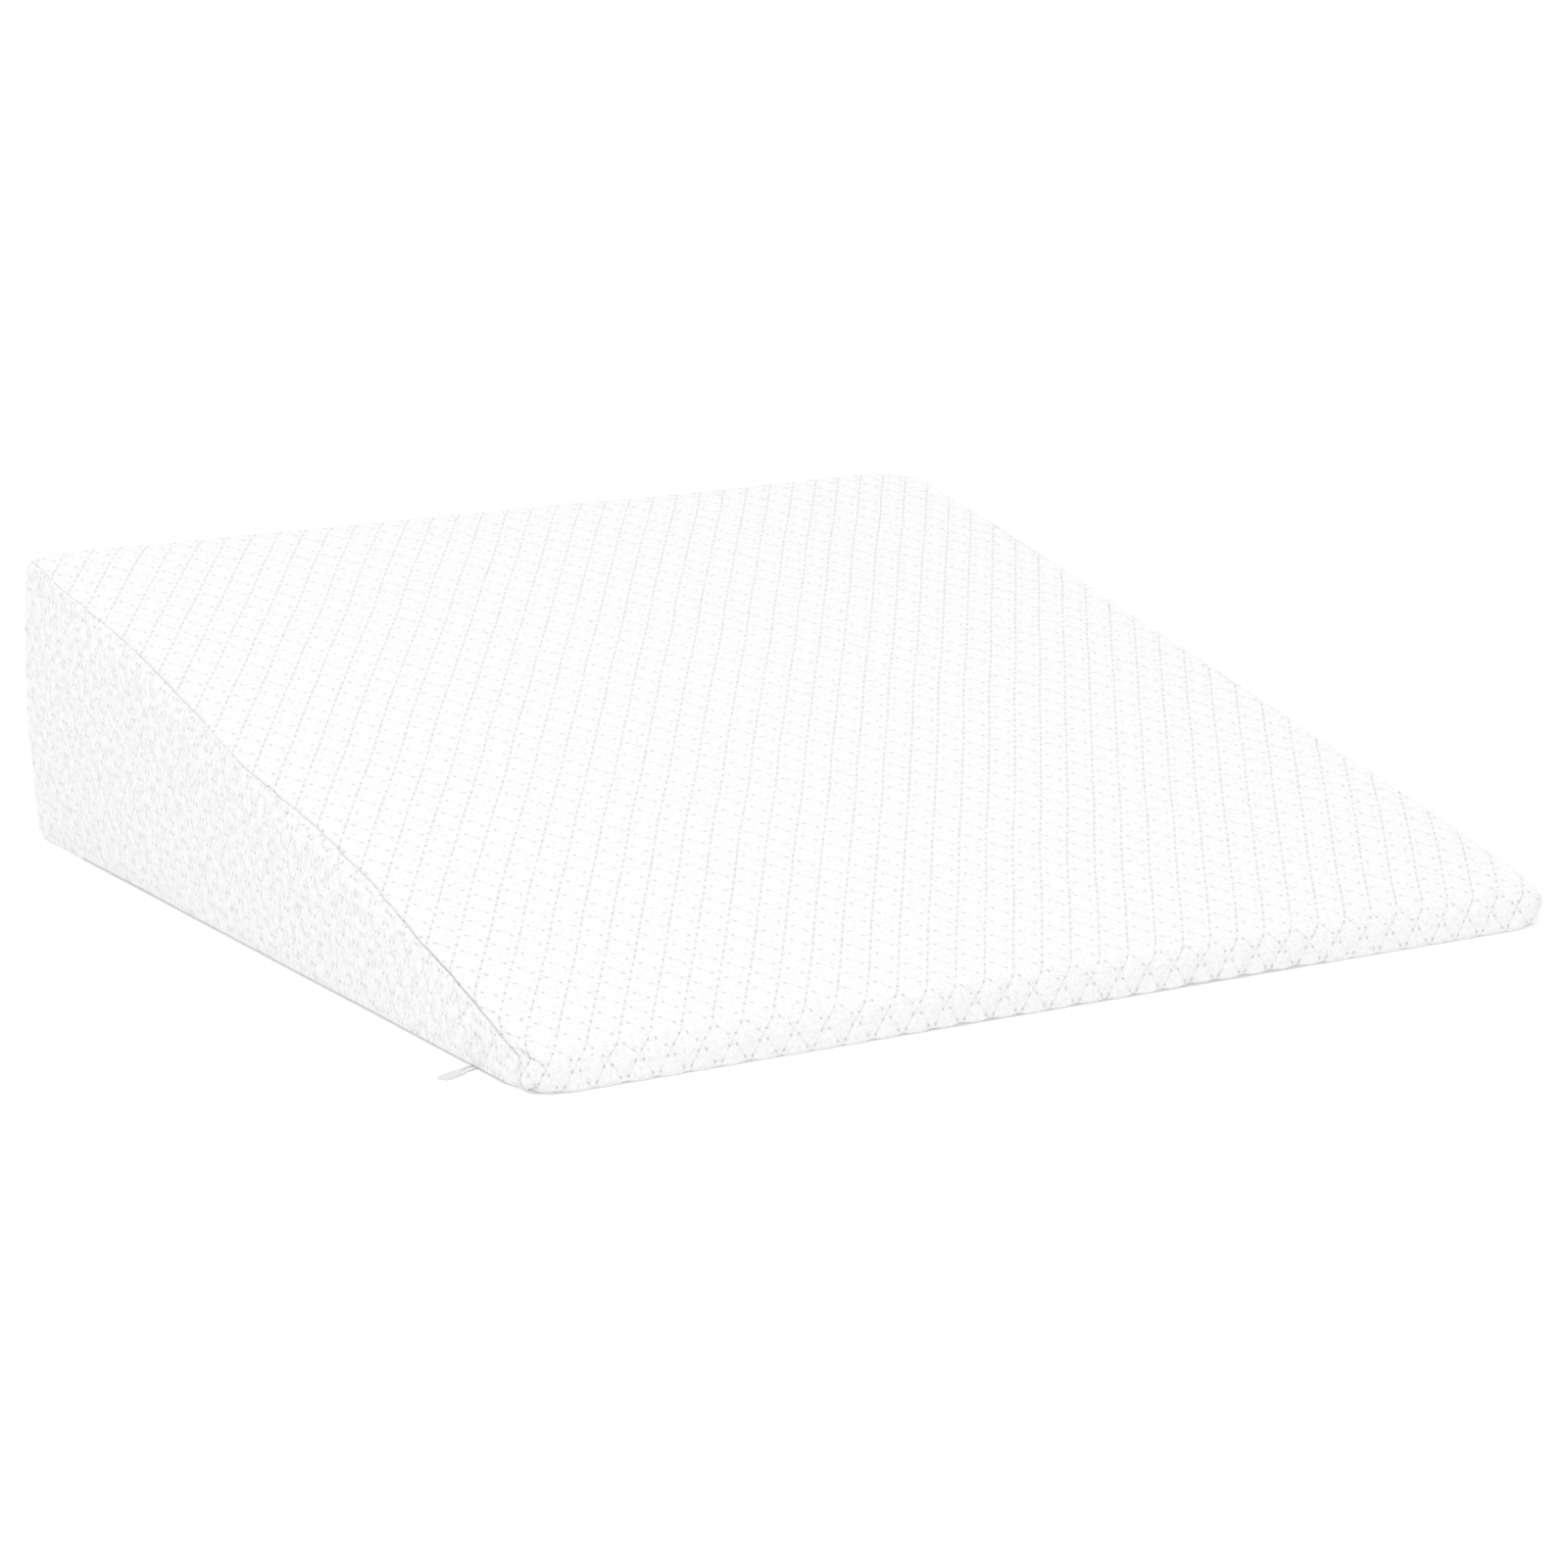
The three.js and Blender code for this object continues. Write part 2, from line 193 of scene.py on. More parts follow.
def settle(piece: Piece) -> None:
    """Move an object's place into its mesh, so that the object stands at the origin."""
    make_active(piece)
    bpy.ops.object.transform_apply(location=True, rotation=True, scale=True)


def apply_modifier(piece: Piece, kind: str, **settings) -> None:
    """Add a modifier, set it up and apply it."""
    make_active(piece)
    modifier = piece.modifiers.new(kind.lower(), kind)
    for name, value in settings.items():
        setattr(modifier, name, value)
    bpy.ops.object.modifier_apply(modifier=modifier.name)


def edit_all(*steps: tuple) -> None:
    """Run mesh operators, each with its settings, on all of the active object."""
    bpy.ops.object.mode_set(mode="EDIT")
    for operator, settings in steps:
        bpy.ops.mesh.select_all(action="SELECT")
        operator(**settings)
    bpy.ops.object.mode_set(mode="OBJECT")


def smooth_step(x: Array | float, low: float, high: float) -> Array:
    """Rise smoothly from 0 at low to 1 at high."""
    t = np.clip((np.asarray(x, float) - low) / (high - low), 0, 1)
    return t * t * (3 - 2 * t)


def window(x: Array | float, rise: Span, fall: Span) -> Array:
    """Rise smoothly from 0 to 1 over the first span, and fall back to 0 over the second."""
    return smooth_step(x, *rise) * (1 - smooth_step(x, *fall))


def blend(first: float | Array, second: float | Array, share: float | Array) -> float | Array:
    """Go from the first value, at a share of 0, to the second one, at a share of 1."""
    return first + (second - first) * share


def bell(x: Array, width: float) -> Array:
    """Give 1 at zero, falling off smoothly on both sides."""
    return np.exp(-((x / width) ** 2))


def finish_piece(
    piece: Piece, material: Material, body: str, stands_for: tuple[str, ...]
) -> Piece:
    """Dress a finished piece and tie it to the frame.

    Args:
        piece: The object, with its place in its mesh.
        material: The finish that covers it.
        body: The CAD body that it moves with.
        stands_for: The CAD nodes that it replaces.

    Returns:
        The same object.
    """
    piece.data.materials.clear()
    piece.data.materials.append(material)
    if stands_for:
        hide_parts(*stands_for)
    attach(piece, body)
    LOG.info("%s: %d faces on %s", piece.name, len(piece.data.polygons), body)
    return piece


# Studio -------------------------------------------------------------------------------------------


@dataclass(frozen=True)
class Studio:
    """A light table: a white floor lit a little from below, an even white surround and one soft lamp."""

    floor_side: float = 60.0
    floor_colour: str = "#dedede"
    floor_glow: float = 0.3
    surround: float = 1.09
    key_power: float = 14.0
    key_side: float = 1.6
    key_place: tuple[float, float, float] = (-1.0, -1.0, 2.7)
    azimuth_deg: float = -29.775
    elevation_deg: float = 12.270
    roll_deg: float = -0.827
    lens_mm: float = 99.05
    camera_place: tuple[float, float, float] = (-1.2131, -2.1573, 0.5949)

    def place_camera(self) -> None:
        """Stand the camera off the front left corner, looking a little down."""
        data = bpy.data.cameras.new("camera")
        data.lens = self.lens_mm
        data.clip_end = 100
        camera = new_object("camera", data)
        stand = Matrix.Translation(self.camera_place)
        for angle, axis in ((self.azimuth_deg, "Z"), (90 - self.elevation_deg, "X"), (self.roll_deg, "Z")):
            stand = stand @ Matrix.Rotation(math.radians(angle), 4, axis)
        camera.matrix_world = stand
        bpy.context.scene.camera = camera

    def light(self) -> None:
        """Add the surround and the key lamp, and show plain sRGB tones."""
        world = bpy.data.worlds.new("surround")
        world.use_nodes = True
        background = world.node_tree.nodes["Background"]
        background.inputs["Color"].default_value = (1, 1, 1, 1)
        background.inputs["Strength"].default_value = self.surround
        bpy.context.scene.world = world
        data = bpy.data.lights.new("key", "AREA")
        data.shape = "DISK"
        data.size = self.key_side
        data.energy = self.key_power
        lamp = new_object("key", data)
        lamp.location = self.key_place
        lamp.rotation_euler = (-Vector(self.key_place)).to_track_quat("-Z", "Y").to_euler()
        bpy.context.scene.view_settings.view_transform = "Standard"
        bpy.context.scene.view_settings.look = "None"

    def lay_floor(self) -> None:
        """Lay the pale floor that the cushion stands on."""
        deselect_all()
        bpy.ops.mesh.primitive_plane_add(size=self.floor_side)
        floor = bpy.context.object
        floor.name = "floor"
        # Opal acrylic, cast and sanded matt, lit from below: it keeps the shade under the cushion pale.
        acrylic = Look("opal_acrylic_cast_matt").dress(
            Base_Color=linear(self.floor_colour),
            Emission_Color=(1, 1, 1, 1),
            Emission_Strength=self.floor_glow,
            Roughness=0.95,
            Specular_IOR_Level=0.0,
        )
        floor.data.materials.append(acrylic)

    def build(self) -> None:
        """Make the camera, the lamps and the floor."""
        self.place_camera()
        self.light()
        self.lay_floor()


# Finishes -----------------------------------------------------------------------------------------


@dataclass(frozen=True)
class QuiltedKnit:
    """White polyester double jersey, knitted fine and quilted by machine.

    It looks chalky and soft, with painted shade in its thin stitch lines, at a needle pinch every few
    millimetres and along the seams, and a faint knit grain. The piece's Quilt UV map counts quilting cells,
    so the lines follow the cloth.
    """

    across: float
    along: float
    colour: str = "#ebebeb"
    # painted shade: the grey that the stitch-line grooves, the needle pinches and the seams are darkened
    # towards
    painted_crease_shade: str = "#a8a8a8"
    pit_shade: str = "#cacaca"
    line_half: float = 0.42
    line_tone: float = 0.16
    line_depth: float = 0.14
    cross_share: float = 0.6
    dimple_tone: float = 0.4
    pit_tone: float = 0.42
    seam_tone: float = 0.15
    grain_mm: float = 1.5
    pit_mm: float = 2.2
    pit_stretch: float = 1.0

    def material(self, name: str) -> Material:
        """Make the knit's material.

        Args:
            name: The material's name.

        Returns:
            The material.
        """
        look = Look(name)
        uv = look.node("UVMap", uv_map="Quilt").outputs[0]
        split = look.node("SeparateXYZ", {0: uv})
        one, two = split.outputs[0], split.outputs[1]
        spacing = 1 / math.hypot(1 / self.across, 1 / self.along) / MM
        side = 0.5 * math.hypot(self.across, self.along) / MM
        lines, dimples = [], []
        for across_cell, along_cell in ((one, two), (two, one)):
            off = look.math("PINGPONG", across_cell, 0.5)
            off = look.math("MULTIPLY", off, spacing)
            doubled = look.math("MULTIPLY_ADD", along_cell, 2.0, 0.5)
            run = look.math("PINGPONG", doubled, 0.5)
            run = look.math("MULTIPLY", run, side / 2)
            lines.append(look.fade(off, 0.3 * self.line_half, self.line_half))
            reach = look.math("POWER", look.math("MULTIPLY", run, 0.75), 2.0)
            away = look.math("ADD", look.math("POWER", off, 2.0), reach)
            dimples.append(look.fade(away, 0.05, 0.7))
        line = look.math("MAXIMUM", look.math("MULTIPLY", lines[0], self.cross_share), lines[1])
        dimple = look.math("MAXIMUM", dimples[0], dimples[1])
        millimetres = self.millimetres(look, one, two)
        tension = look.noise(millimetres, Scale=0.08, Detail=2.0)
        line = look.math("MULTIPLY", line, look.math("MULTIPLY_ADD", tension, 2.4, -0.4))
        grain = self.grain(look, millimetres)
        stretch = {0: millimetres, 1: (1, 1 / self.pit_stretch, 1)}
        drawn = look.node("VectorMath", stretch, operation="MULTIPLY").outputs[0]
        pits = self.pits(look, drawn)
        # Painted shade along the seam valley, read from the seam_shade attribute.
        painted_seam_shade = look.node("Attribute", attribute_name="seam_shade").outputs["Fac"]
        # Painted shade: the colour darkens towards a grey in the stitch-line grooves and at the needle
        # pinches, on top of their bump.
        shade = look.math("MULTIPLY", line, self.line_tone)
        shade = look.math("ADD", shade, look.math("MULTIPLY", dimple, self.dimple_tone))
        shade = look.math("ADD", shade, look.math("MULTIPLY", painted_seam_shade, self.seam_tone), clamp=True)
        crease_shaded_colour = look.mix(shade, linear(self.colour), linear(self.painted_crease_shade))
        speckle = look.math("MULTIPLY", pits, self.pit_tone)
        height = look.math("MULTIPLY", grain, 0.10)
        height = look.math("MULTIPLY_ADD", pits, -0.16, height)
        height = look.math("MULTIPLY_ADD", line, -self.line_depth, height)
        height = look.math("MULTIPLY_ADD", dimple, -0.25, height)
        return look.dress(
            bump={"Height": height, "Distance": MM, "Strength": 1.0},
            Base_Color=look.mix(speckle, crease_shaded_colour, linear(self.pit_shade)),
            Roughness=0.92,
            IOR=1.5,
            Specular_IOR_Level=0.25,
            Sheen_Weight=0.15,
            Sheen_Roughness=0.5,
        )

    def millimetres(self, look: Look, one: Socket, two: Socket) -> Socket:
        """Turn cell counts into millimetres across and along the cloth."""
        across = look.math("MULTIPLY", look.math("ADD", one, two), self.across / MM / 2)
        along = look.math("MULTIPLY", look.math("SUBTRACT", one, two), self.along / MM / 2)
        return look.node("CombineXYZ", {0: across, 1: along}).outputs[0]

    def grain(self, look: Look, place: Socket) -> Socket:
        """Knit the grain: columns of loops, drawn twice as coarse as the real gauge so that they show."""
        scale = 1 / self.grain_mm / 3.14
        return look.weave({"Vector": place, "Scale": scale, "Distortion": 1.2, "Detail": 1.0})

    def pits(self, look: Look, place: Socket) -> Socket:
        """Scatter the small tucked loops that give a double jersey its speckle."""
        links = {"Vector": place, "Scale": 1 / self.pit_mm, "Randomness": 1.0}
        cells = look.node("TexVoronoi", links)
        near = look.fade(cells.outputs["Distance"], 0.1, 0.5)
        some = look.node("SeparateXYZ", {0: cells.outputs["Color"]}).outputs[0]
        loops = look.math("MULTIPLY", near, look.math("POWER", some, 1.5))
        cloud = look.noise(place, Scale=0.73 / self.pit_mm, Detail=3.0, Roughness=0.7)
        links = {"Value": cloud, "From Min": 0.45, "From Max": 0.62}
        patch = look.node("MapRange", links).outputs[0]
        return look.math("MULTIPLY_ADD", patch, 0.5, look.math("MULTIPLY", loops, 0.8))


@dataclass(frozen=True)
class WovenPolyester:
    """Plain woven or herringbone polyester cloth: flat, matt, with an even fine weave."""

    colour: str
    shade: str
    thread_mm: float

    def material(self, name: str) -> Material:
        """Make the woven cloth's material, with its pattern on the Cloth UV map in millimetres."""
        look = Look(name)
        uv = look.node("UVMap", uv_map="Cloth").outputs[0]
        weave = look.weave({"Vector": uv, "Scale": 1 / self.thread_mm / 6.28})
        fuzz = look.noise(uv, Scale=0.35, Detail=4.0)
        blend = look.math("MULTIPLY_ADD", weave, -0.5, look.math("MULTIPLY_ADD", fuzz, 0.5, 0.45))
        return look.dress(
            bump={"Height": weave, "Distance": 0.12 * MM, "Strength": 0.8},
            Base_Color=look.mix(blend, linear(self.colour), linear(self.shade)),
            Roughness=0.85,
            Specular_IOR_Level=0.3,
        )


@dataclass(frozen=True)
class CutFoam:
    """Polyurethane foam, blown and then cut with a band knife: open cells on every face."""

    colour: str
    shade: str
    cell_mm: float

    def material(self, name: str) -> Material:
        """Make the foam's material: rounded open cells and a faint drift of tone through the block."""
        look = Look(name)
        place = look.node("TexCoord").outputs["Object"]
        links = {"Vector": place, "Scale": 1 / self.cell_mm / MM}
        cells = look.node("TexVoronoi", links).outputs["Distance"]
        drift = look.noise(place, Scale=9.0, Detail=3.0)
        blend = look.math("MULTIPLY_ADD", cells, 0.5, look.math("MULTIPLY", drift, 0.3))
        return look.dress(
            bump={"Height": cells, "Distance": 0.4 * MM, "Strength": 0.7},
            Base_Color=look.mix(blend, linear(self.colour), linear(self.shade)),
            Roughness=0.97,
            Specular_IOR_Level=0.15,
        )


@dataclass(frozen=True)
class NylonMonofilament:
    """Drawn nylon monofilament: smooth, slightly waxy and a little see-through at its edges."""

    colour: str = "#f2f2ef"

    def material(self, name: str) -> Material:
        """Make the nylon's material, with the faint unevenness of drawn filament."""
        look = Look(name)
        place = look.node("TexCoord").outputs["Object"]
        return look.dress(
            Base_Color=linear(self.colour),
            Roughness=look.math("MULTIPLY_ADD", look.noise(place, Scale=900.0), 0.12, 0.28),
            IOR=1.53,
            Subsurface_Weight=0.15,
            Subsurface_Radius=(0.5 * MM, 0.5 * MM, 0.5 * MM),
        )


@dataclass(frozen=True)
class BakedEnamel:
    """Die-cast zinc under baked white enamel: glossy and even, rubbed slightly darker by handling."""

    colour: str = "#dadada"
    rubbed: str = "#bdbdbd"

    def material(self, name: str) -> Material:
        """Make the enamel's material, with fine handling marks in its gloss."""
        look = Look(name)
        place = look.node("TexCoord").outputs["Object"]
        marks = look.noise(place, Scale=420.0, Detail=6.0, Roughness=0.65)
        links = {"Value": marks, "From Min": 0.52, "From Max": 0.75, "To Max": 0.5}
        rub = look.node("MapRange", links).outputs[0]
        return look.dress(
            Base_Color=look.mix(rub, linear(self.colour), linear(self.rubbed)),
            Roughness=look.math("MULTIPLY_ADD", marks, 0.25, 0.2),
            IOR=1.5,
        )


# The cushion's form -------------------------------------------------------------------------------


class Side(Enum):
    """Which side of the cushion a piece is on."""

    LEFT = -1
    RIGHT = 1


@dataclass(frozen=True)
class WedgeForm:
    """The filled cover's outer surface, as a signed distance: five faces met by round edges."""

    half_width: float
    half_depth: float
    front_height: float
    back_height: float
    crown: float = 2.0 * MM
    edge_radius: float = 5.0 * MM
    nose_radius: float = 9.0 * MM
    front_corner: float = 16.0 * MM
    right_front_corner: float = 13.0 * MM
    back_corner: float = 8.0 * MM
    right_back_corner: float = 20.0 * MM
    top_corner: float = 13.0 * MM
    foot_radius: float = 1.0 * MM
    toe_corner: float = 8.0 * MM
    right_toe_corner: float = 15.0 * MM
    heel_radius: float = 8.0 * MM
    heel_corner: float = 20.0 * MM
    bulge: float = 3.5 * MM
    nose_reach: Span = (10 * MM, 40 * MM)
    zip_start: Span = (-318 * MM, -309 * MM)
    zip_end: Span = (262 * MM, 274 * MM)

    def slope(self, y: Array) -> Array:
        """Height of the slope, before its edges are rounded, at a distance y along the cushion."""
        t = np.clip((y + self.half_depth) / (2 * self.half_depth), 0, 1)
        return blend(self.front_height, self.back_height, t) + 4 * self.crown * t * (1 - t)

    def lean(self) -> float:
        """Rise of the slope for each metre along the cushion."""
        return (self.back_height - self.front_height) / (2 * self.half_depth)

    def zip_share(self, y: Array) -> Array:
        """Give 1 where the left side's lower hem stands clear of the ground for the zip, and 0 elsewhere."""
        return window(y, self.zip_start, self.zip_end)

    @staticmethod
    def meet(a: Array, b: Array, radius: Array | float) -> Array:
        """Distance to the space inside both of two faces, where a round edge joins them."""
        over = np.hypot(np.maximum(a + radius, 0), np.maximum(b + radius, 0))
        return np.minimum(np.maximum(a, b), -radius) + over

    def distance(self, p: Array) -> Array:
        """Signed distance from the form's surface, for points in the last axis."""
        x, y, z = p[..., 0], p[..., 1], p[..., 2]
        high = np.clip(z / self.back_height, 0, 1)
        belly = 4 * high * (1 - high) * self.bulge
        side = np.abs(x) - self.half_width - belly * smooth_step(y, 0, self.half_depth)
        front, back = -y - self.half_depth, y - self.half_depth - belly
        rightward = smooth_step(x, 0, self.half_width)
        fore = blend(self.front_corner, self.right_front_corner, rightward)
        rear = blend(self.back_corner, self.right_back_corner, rightward)
        plan = np.maximum(self.meet(side, front, fore), self.meet(side, back, rear))
        nose = 1 - smooth_step(y + self.half_depth, *self.nose_reach)
        radius = blend(self.edge_radius, self.nose_radius, nose)
        near_corner = smooth_step(side, -40 * MM, 0) * smooth_step(back, -30 * MM, 0)
        radius = radius + (self.top_corner - self.edge_radius) * near_corner
        top = (z - self.slope(y)) / math.hypot(1, self.lean())
        body = self.meet(plan, top, radius)
        toe = smooth_step(side, -30 * MM, 0) * nose
        foot = blend(self.foot_radius, blend(self.toe_corner, self.right_toe_corner, rightward), toe)
        heel = blend(self.heel_radius, self.heel_corner, smooth_step(side, -90 * MM, 0))
        return np.maximum(self.meet(body, -z, foot), self.meet(back, -z, heel))

    def normal(self, p: Array) -> Array:
        """Outward unit normals at the points, from the distance's own slope."""
        step = 0.2 * MM
        parts = []
        for axis in range(3):
            move = np.zeros(3)
            move[axis] = step
            parts.append(self.distance(p + move) - self.distance(p - move))
        n = np.stack(parts, -1)
        return n / np.maximum(np.linalg.norm(n, axis=-1, keepdims=True), 1e-12)

    def onto(self, p: Array) -> Array:
        """Move points straight onto the surface."""
        for _ in range(5):
            p = p - self.distance(p)[..., None] * self.normal(p)
        return p


@dataclass(frozen=True)
class Quilting:
    """The stitched diamond lattice of the cloth, and the relief that it pulls the padding into."""

    across: float
    along: float
    turn_deg: float = 0.0
    puff: float = 0.85 * MM
    softness: float = 0.62
    pinch: float = 0.45 * MM
    pinch_across: float = 1.2 * MM
    pinch_along: float = 1.7 * MM

    def cells(self, u: Array, s: Array) -> tuple[Array, Array]:
        """Count cells in the lattice's two directions, at places across and along the cloth."""
        turn = math.radians(self.turn_deg)
        across = u * math.cos(turn) + s * math.sin(turn)
        along = s * math.cos(turn) - u * math.sin(turn)
        return across / self.across + along / self.along, across / self.across - along / self.along

    def relief(self, one: Array, two: Array) -> Array:
        """Height of the puffed cloth above its stitch lines, with a pinch where the needle went in."""
        swell = (np.abs(np.sin(np.pi * one)) * np.abs(np.sin(np.pi * two))) ** self.softness
        seed = np.sin(12.9898 * np.floor(one) + 78.233 * np.floor(two)) * 43758.5453
        vary = 0.88 + 0.24 * (seed - np.floor(seed))
        spacing = 1 / math.hypot(1 / self.across, 1 / self.along)
        side = 0.5 * math.hypot(self.across, self.along)
        height = self.puff * (swell * vary - 0.55)
        for a, b in ((one, two), (two, one)):
            off = (a - np.round(a)) * spacing
            run = (2 * b - 0.5 - np.round(2 * b - 0.5)) * side / 2
            height = height - self.pinch * bell(off, self.pinch_across) * bell(run, self.pinch_along)
        return height


def ripple(u: Array, s: Array, wave: float, seed: float) -> Array:
    """Give a smooth drift from about -1 to 1 with waves of a rough length, the same for the same seed."""
    total = np.zeros(np.broadcast(u, s).shape)
    for i in range(5):
        angle = seed + 2.4 * i
        k = 2 * math.pi / (wave * (0.75 + 0.17 * i))
        total = total + np.sin(k * (u * math.cos(angle) + s * math.sin(angle)) + 1.7 * seed * (i + 1))
    return total / 3.2


@dataclass
class ClothGrid:
    """A rectangular net of points on the cushion's surface, with its places on the flat cloth."""

    sharp: Array
    u: Array
    s: Array
    seam_gap: Array
    hem_gap: Array


class PanelMaker:
    """Turns a net of points on the form into a closed, quilted panel."""

    inner_step = 4
    backing = 2.6 * MM
    hem_share = 0.35
    seam_width = 0.9 * MM
    seam_depth = 1.3 * MM
    roll_rise = 0.4 * MM
    roll_place = 3.0 * MM
    roll_width = 1.8 * MM
    mesh_size = 10.0 * MM
    fullness = 1.4 * MM
    sim_frames = 20
    cloth_settings = {
        "vertex_group_mass": "seam",
        "quality": 4,
        "tension_stiffness": 25,
        "compression_stiffness": 25,
        "use_pressure": True,
        "uniform_pressure_force": 4,
    }
    slow_drift, slow_wave = 0.4 * MM, 210 * MM
    fine_drift, fine_wave = 0.3 * MM, 46 * MM
    lowest = 0.15 * MM

    def __init__(self, form: WedgeForm) -> None:
        """Keep the form that every panel lies on."""
        self.form = form

    def surfaces(self, grid: ClothGrid, quilt: Quilting, seed: float) -> tuple[Array, ...]:
        """Work out the panel's outer and inner layer.

        Args:
            grid: The panel's net.
            quilt: The cloth's quilting.
            seed: Sets this panel's unevenness apart.

        Returns:
            Outer points, inner points, the two cell counts and the shade in the seams.
        """
        base = self.form.onto(grid.sharp)
        normal = self.form.normal(base)
        one, two = quilt.cells(grid.u, grid.s)
        near = grid.seam_gap
        free = smooth_step(near, 0.5 * MM, 6 * MM) * smooth_step(grid.hem_gap, 0, 5 * MM)
        loose = smooth_step(near, 0, 70 * MM)
        crease = 1 + 0.6 * bell(near, 16 * MM)
        height = quilt.relief(one, two) * free * crease + self.billow(grid, base, normal)
        height = height + self.slow_drift * ripple(grid.u, grid.s, self.slow_wave, seed) * loose
        height = height + self.fine_drift * ripple(grid.u, grid.s, self.fine_wave, seed + 2) * free
        # The seam share both sinks the seam valley and paints shade along it, through the seam_shade
        # attribute.
        shade = self.seam_pull(base[..., 1], seed) * bell(near, self.seam_width)
        height = height + self.roll_rise * bell(near - self.roll_place, self.roll_width)
        height = height - self.seam_depth * shade
        outer = base + normal * height[..., None]
        outer[..., 2] = np.maximum(outer[..., 2], self.lowest)
        full = smooth_step(grid.hem_gap, 0, 4 * MM)
        thickness = self.backing * (self.hem_share + (1 - self.hem_share) * full)
        inner = base - normal * thickness[..., None]
        return outer, inner, one, two, shade

    @staticmethod
    def seam_pull(y: Array, seed: float) -> Array:
        """How hard the seam is drawn in: tight towards the front, slack near the middle and at the back."""
        tight = 0.8 + 0.5 * (1 - smooth_step(y, -300 * MM, -140 * MM))
        slack = bell(y - 45 * MM, 28 * MM) + smooth_step(y, 170 * MM, 230 * MM)
        return np.maximum(tight - 0.65 * slack + 0.2 * ripple(y * 0, y, 24 * MM, seed), 0)

    def billow(self, grid: ClothGrid, base: Array, normal: Array) -> Array:
        """Fill the cloth out between its seams, by a cloth simulation on a coarse copy of the panel.

        Args:
            grid: The panel's net.
            base: Its points on the form.
            normal: The form's outward normals there.
        """
        rows, columns = base.shape[:2]
        long, wide = np.ptp(grid.s), np.ptp(grid.u)
        row = np.round(np.linspace(0, rows - 1, round(long / self.mesh_size))).astype(int)
        column = np.round(np.linspace(0, columns - 1, round(wide / self.mesh_size))).astype(int)
        start = base[np.ix_(row, column)]
        index = np.arange(start.shape[0] * start.shape[1]).reshape(start.shape[:2])
        quads = quads_of(index)
        out = np.cross(start[1, 1] - start[0, 0], start[1, 0] - start[0, 1]) @ normal[row[0], column[0]]
        if out < 0:
            quads = quads[:, ::-1]
        cloth = mesh_object("cloth_run", start, quads.tolist())
        seam = np.unique(np.concatenate([index[0], index[-1], index[:, 0], index[:, -1]]))
        cloth.vertex_groups.new(name="seam").add(seam.tolist(), 1.0, "REPLACE")
        run = cloth.modifiers.new("cloth", "CLOTH")
        for setting, value in self.cloth_settings.items():
            setattr(run.settings, setting, value)
        run.settings.effector_weights.gravity = 0
        run.point_cache.frame_end = self.sim_frames
        for step in range(1, self.sim_frames + 1):
            bpy.context.scene.frame_set(step)
        filled = cloth.evaluated_get(bpy.context.evaluated_depsgraph_get())
        moved = np.zeros(3 * start.shape[0] * start.shape[1], np.float32)
        filled.data.vertices.foreach_get("co", moved)
        rise = ((moved.reshape(start.shape) - start) * normal[np.ix_(row, column)]).sum(-1)
        bpy.data.objects.remove(cloth)
        bpy.context.scene.frame_set(1)
        LOG.info("cloth run: %.1f mm at most, kept to %.1f mm", rise.max() / MM, self.fullness / MM)
        rise = self.fullness * np.tanh(rise / self.fullness)
        along = np.stack([np.interp(np.arange(rows), row, rise[:, j]) for j in range(column.size)], 1)
        return np.stack([np.interp(np.arange(columns), column, line) for line in along])

    def faces(self, rows: int, columns: int, one: Array, two: Array, flip: bool):
        """List the faces of the closed panel.

        Args:
            rows: How many rows of points the outer layer has.
            columns: How many columns.
            one: Cell counts in the first direction.
            two: Cell counts in the second direction.
            flip: True if rows by columns turn inwards.

        Returns:
            The faces, and for each inner point the outer point above it.
        """
        index = np.arange(rows * columns).reshape(rows, columns)
        a, b = index[:-1, :-1], index[:-1, 1:]
        c, d = index[1:, 1:], index[1:, :-1]
        mid_one = (one[:-1, :-1] + one[1:, 1:]) / 2
        mid_two = (two[:-1, :-1] + two[1:, 1:]) / 2
        first = np.abs(np.sin(np.pi * mid_two)) < np.abs(np.sin(np.pi * mid_one))
        quads = np.where(first[..., None], np.stack([a, b, c, d], -1), np.stack([b, c, d, a], -1))
        k = self.inner_step
        above = index[::k, ::k]
        inner = np.arange(above.size).reshape(above.shape) + rows * columns
        inner_quads = quads_of(inner)[:, [0, 3, 2, 1]]
        rims = []
        for edge in (np.s_[0, ::-1], np.s_[-1, :], np.s_[:, 0], np.s_[::-1, -1]):
            high, low = index[edge].tolist(), inner[edge].tolist()
            rims += [[*high[i * k : (i + 1) * k + 1], low[i + 1], low[i]] for i in range(len(low) - 1)]
        faces = quads.reshape(-1, 4).tolist() + inner_quads.tolist() + rims
        if flip:
            faces = [face[::-1] for face in faces]
        return faces, above.ravel()

    def panel(self, name: str, grid: ClothGrid, quilt: Quilting, seed: float, flip: bool) -> Piece:
        """Build one panel as a mesh object.

        Args:
            name: The piece's name.
            grid: Its net of points.
            quilt: The cloth's quilting.
            seed: Sets this panel's unevenness apart.
            flip: True if the net's rows by columns turn inwards.

        Returns:
            The new object.
        """
        outer, inner, one, two, shade = self.surfaces(grid, quilt, seed)
        rows, columns = outer.shape[:2]
        faces, above = self.faces(rows, columns, one, two, flip)
        points = np.concatenate([outer.reshape(-1, 3), inner.reshape(-1, 3)[above]])
        cell = np.stack([one.ravel(), two.ravel()], -1)
        piece = mesh_object(name, points, faces, "Quilt", np.concatenate([cell, cell[above]]))
        # Painted shade along the seams, for the knit's material.
        attribute = piece.data.attributes.new("seam_shade", "FLOAT", "POINT")
        tone = np.concatenate([shade.ravel(), shade.ravel()[above]]).astype(np.float32)
        attribute.data.foreach_set("value", tone)
        piece.data.update()
        return piece


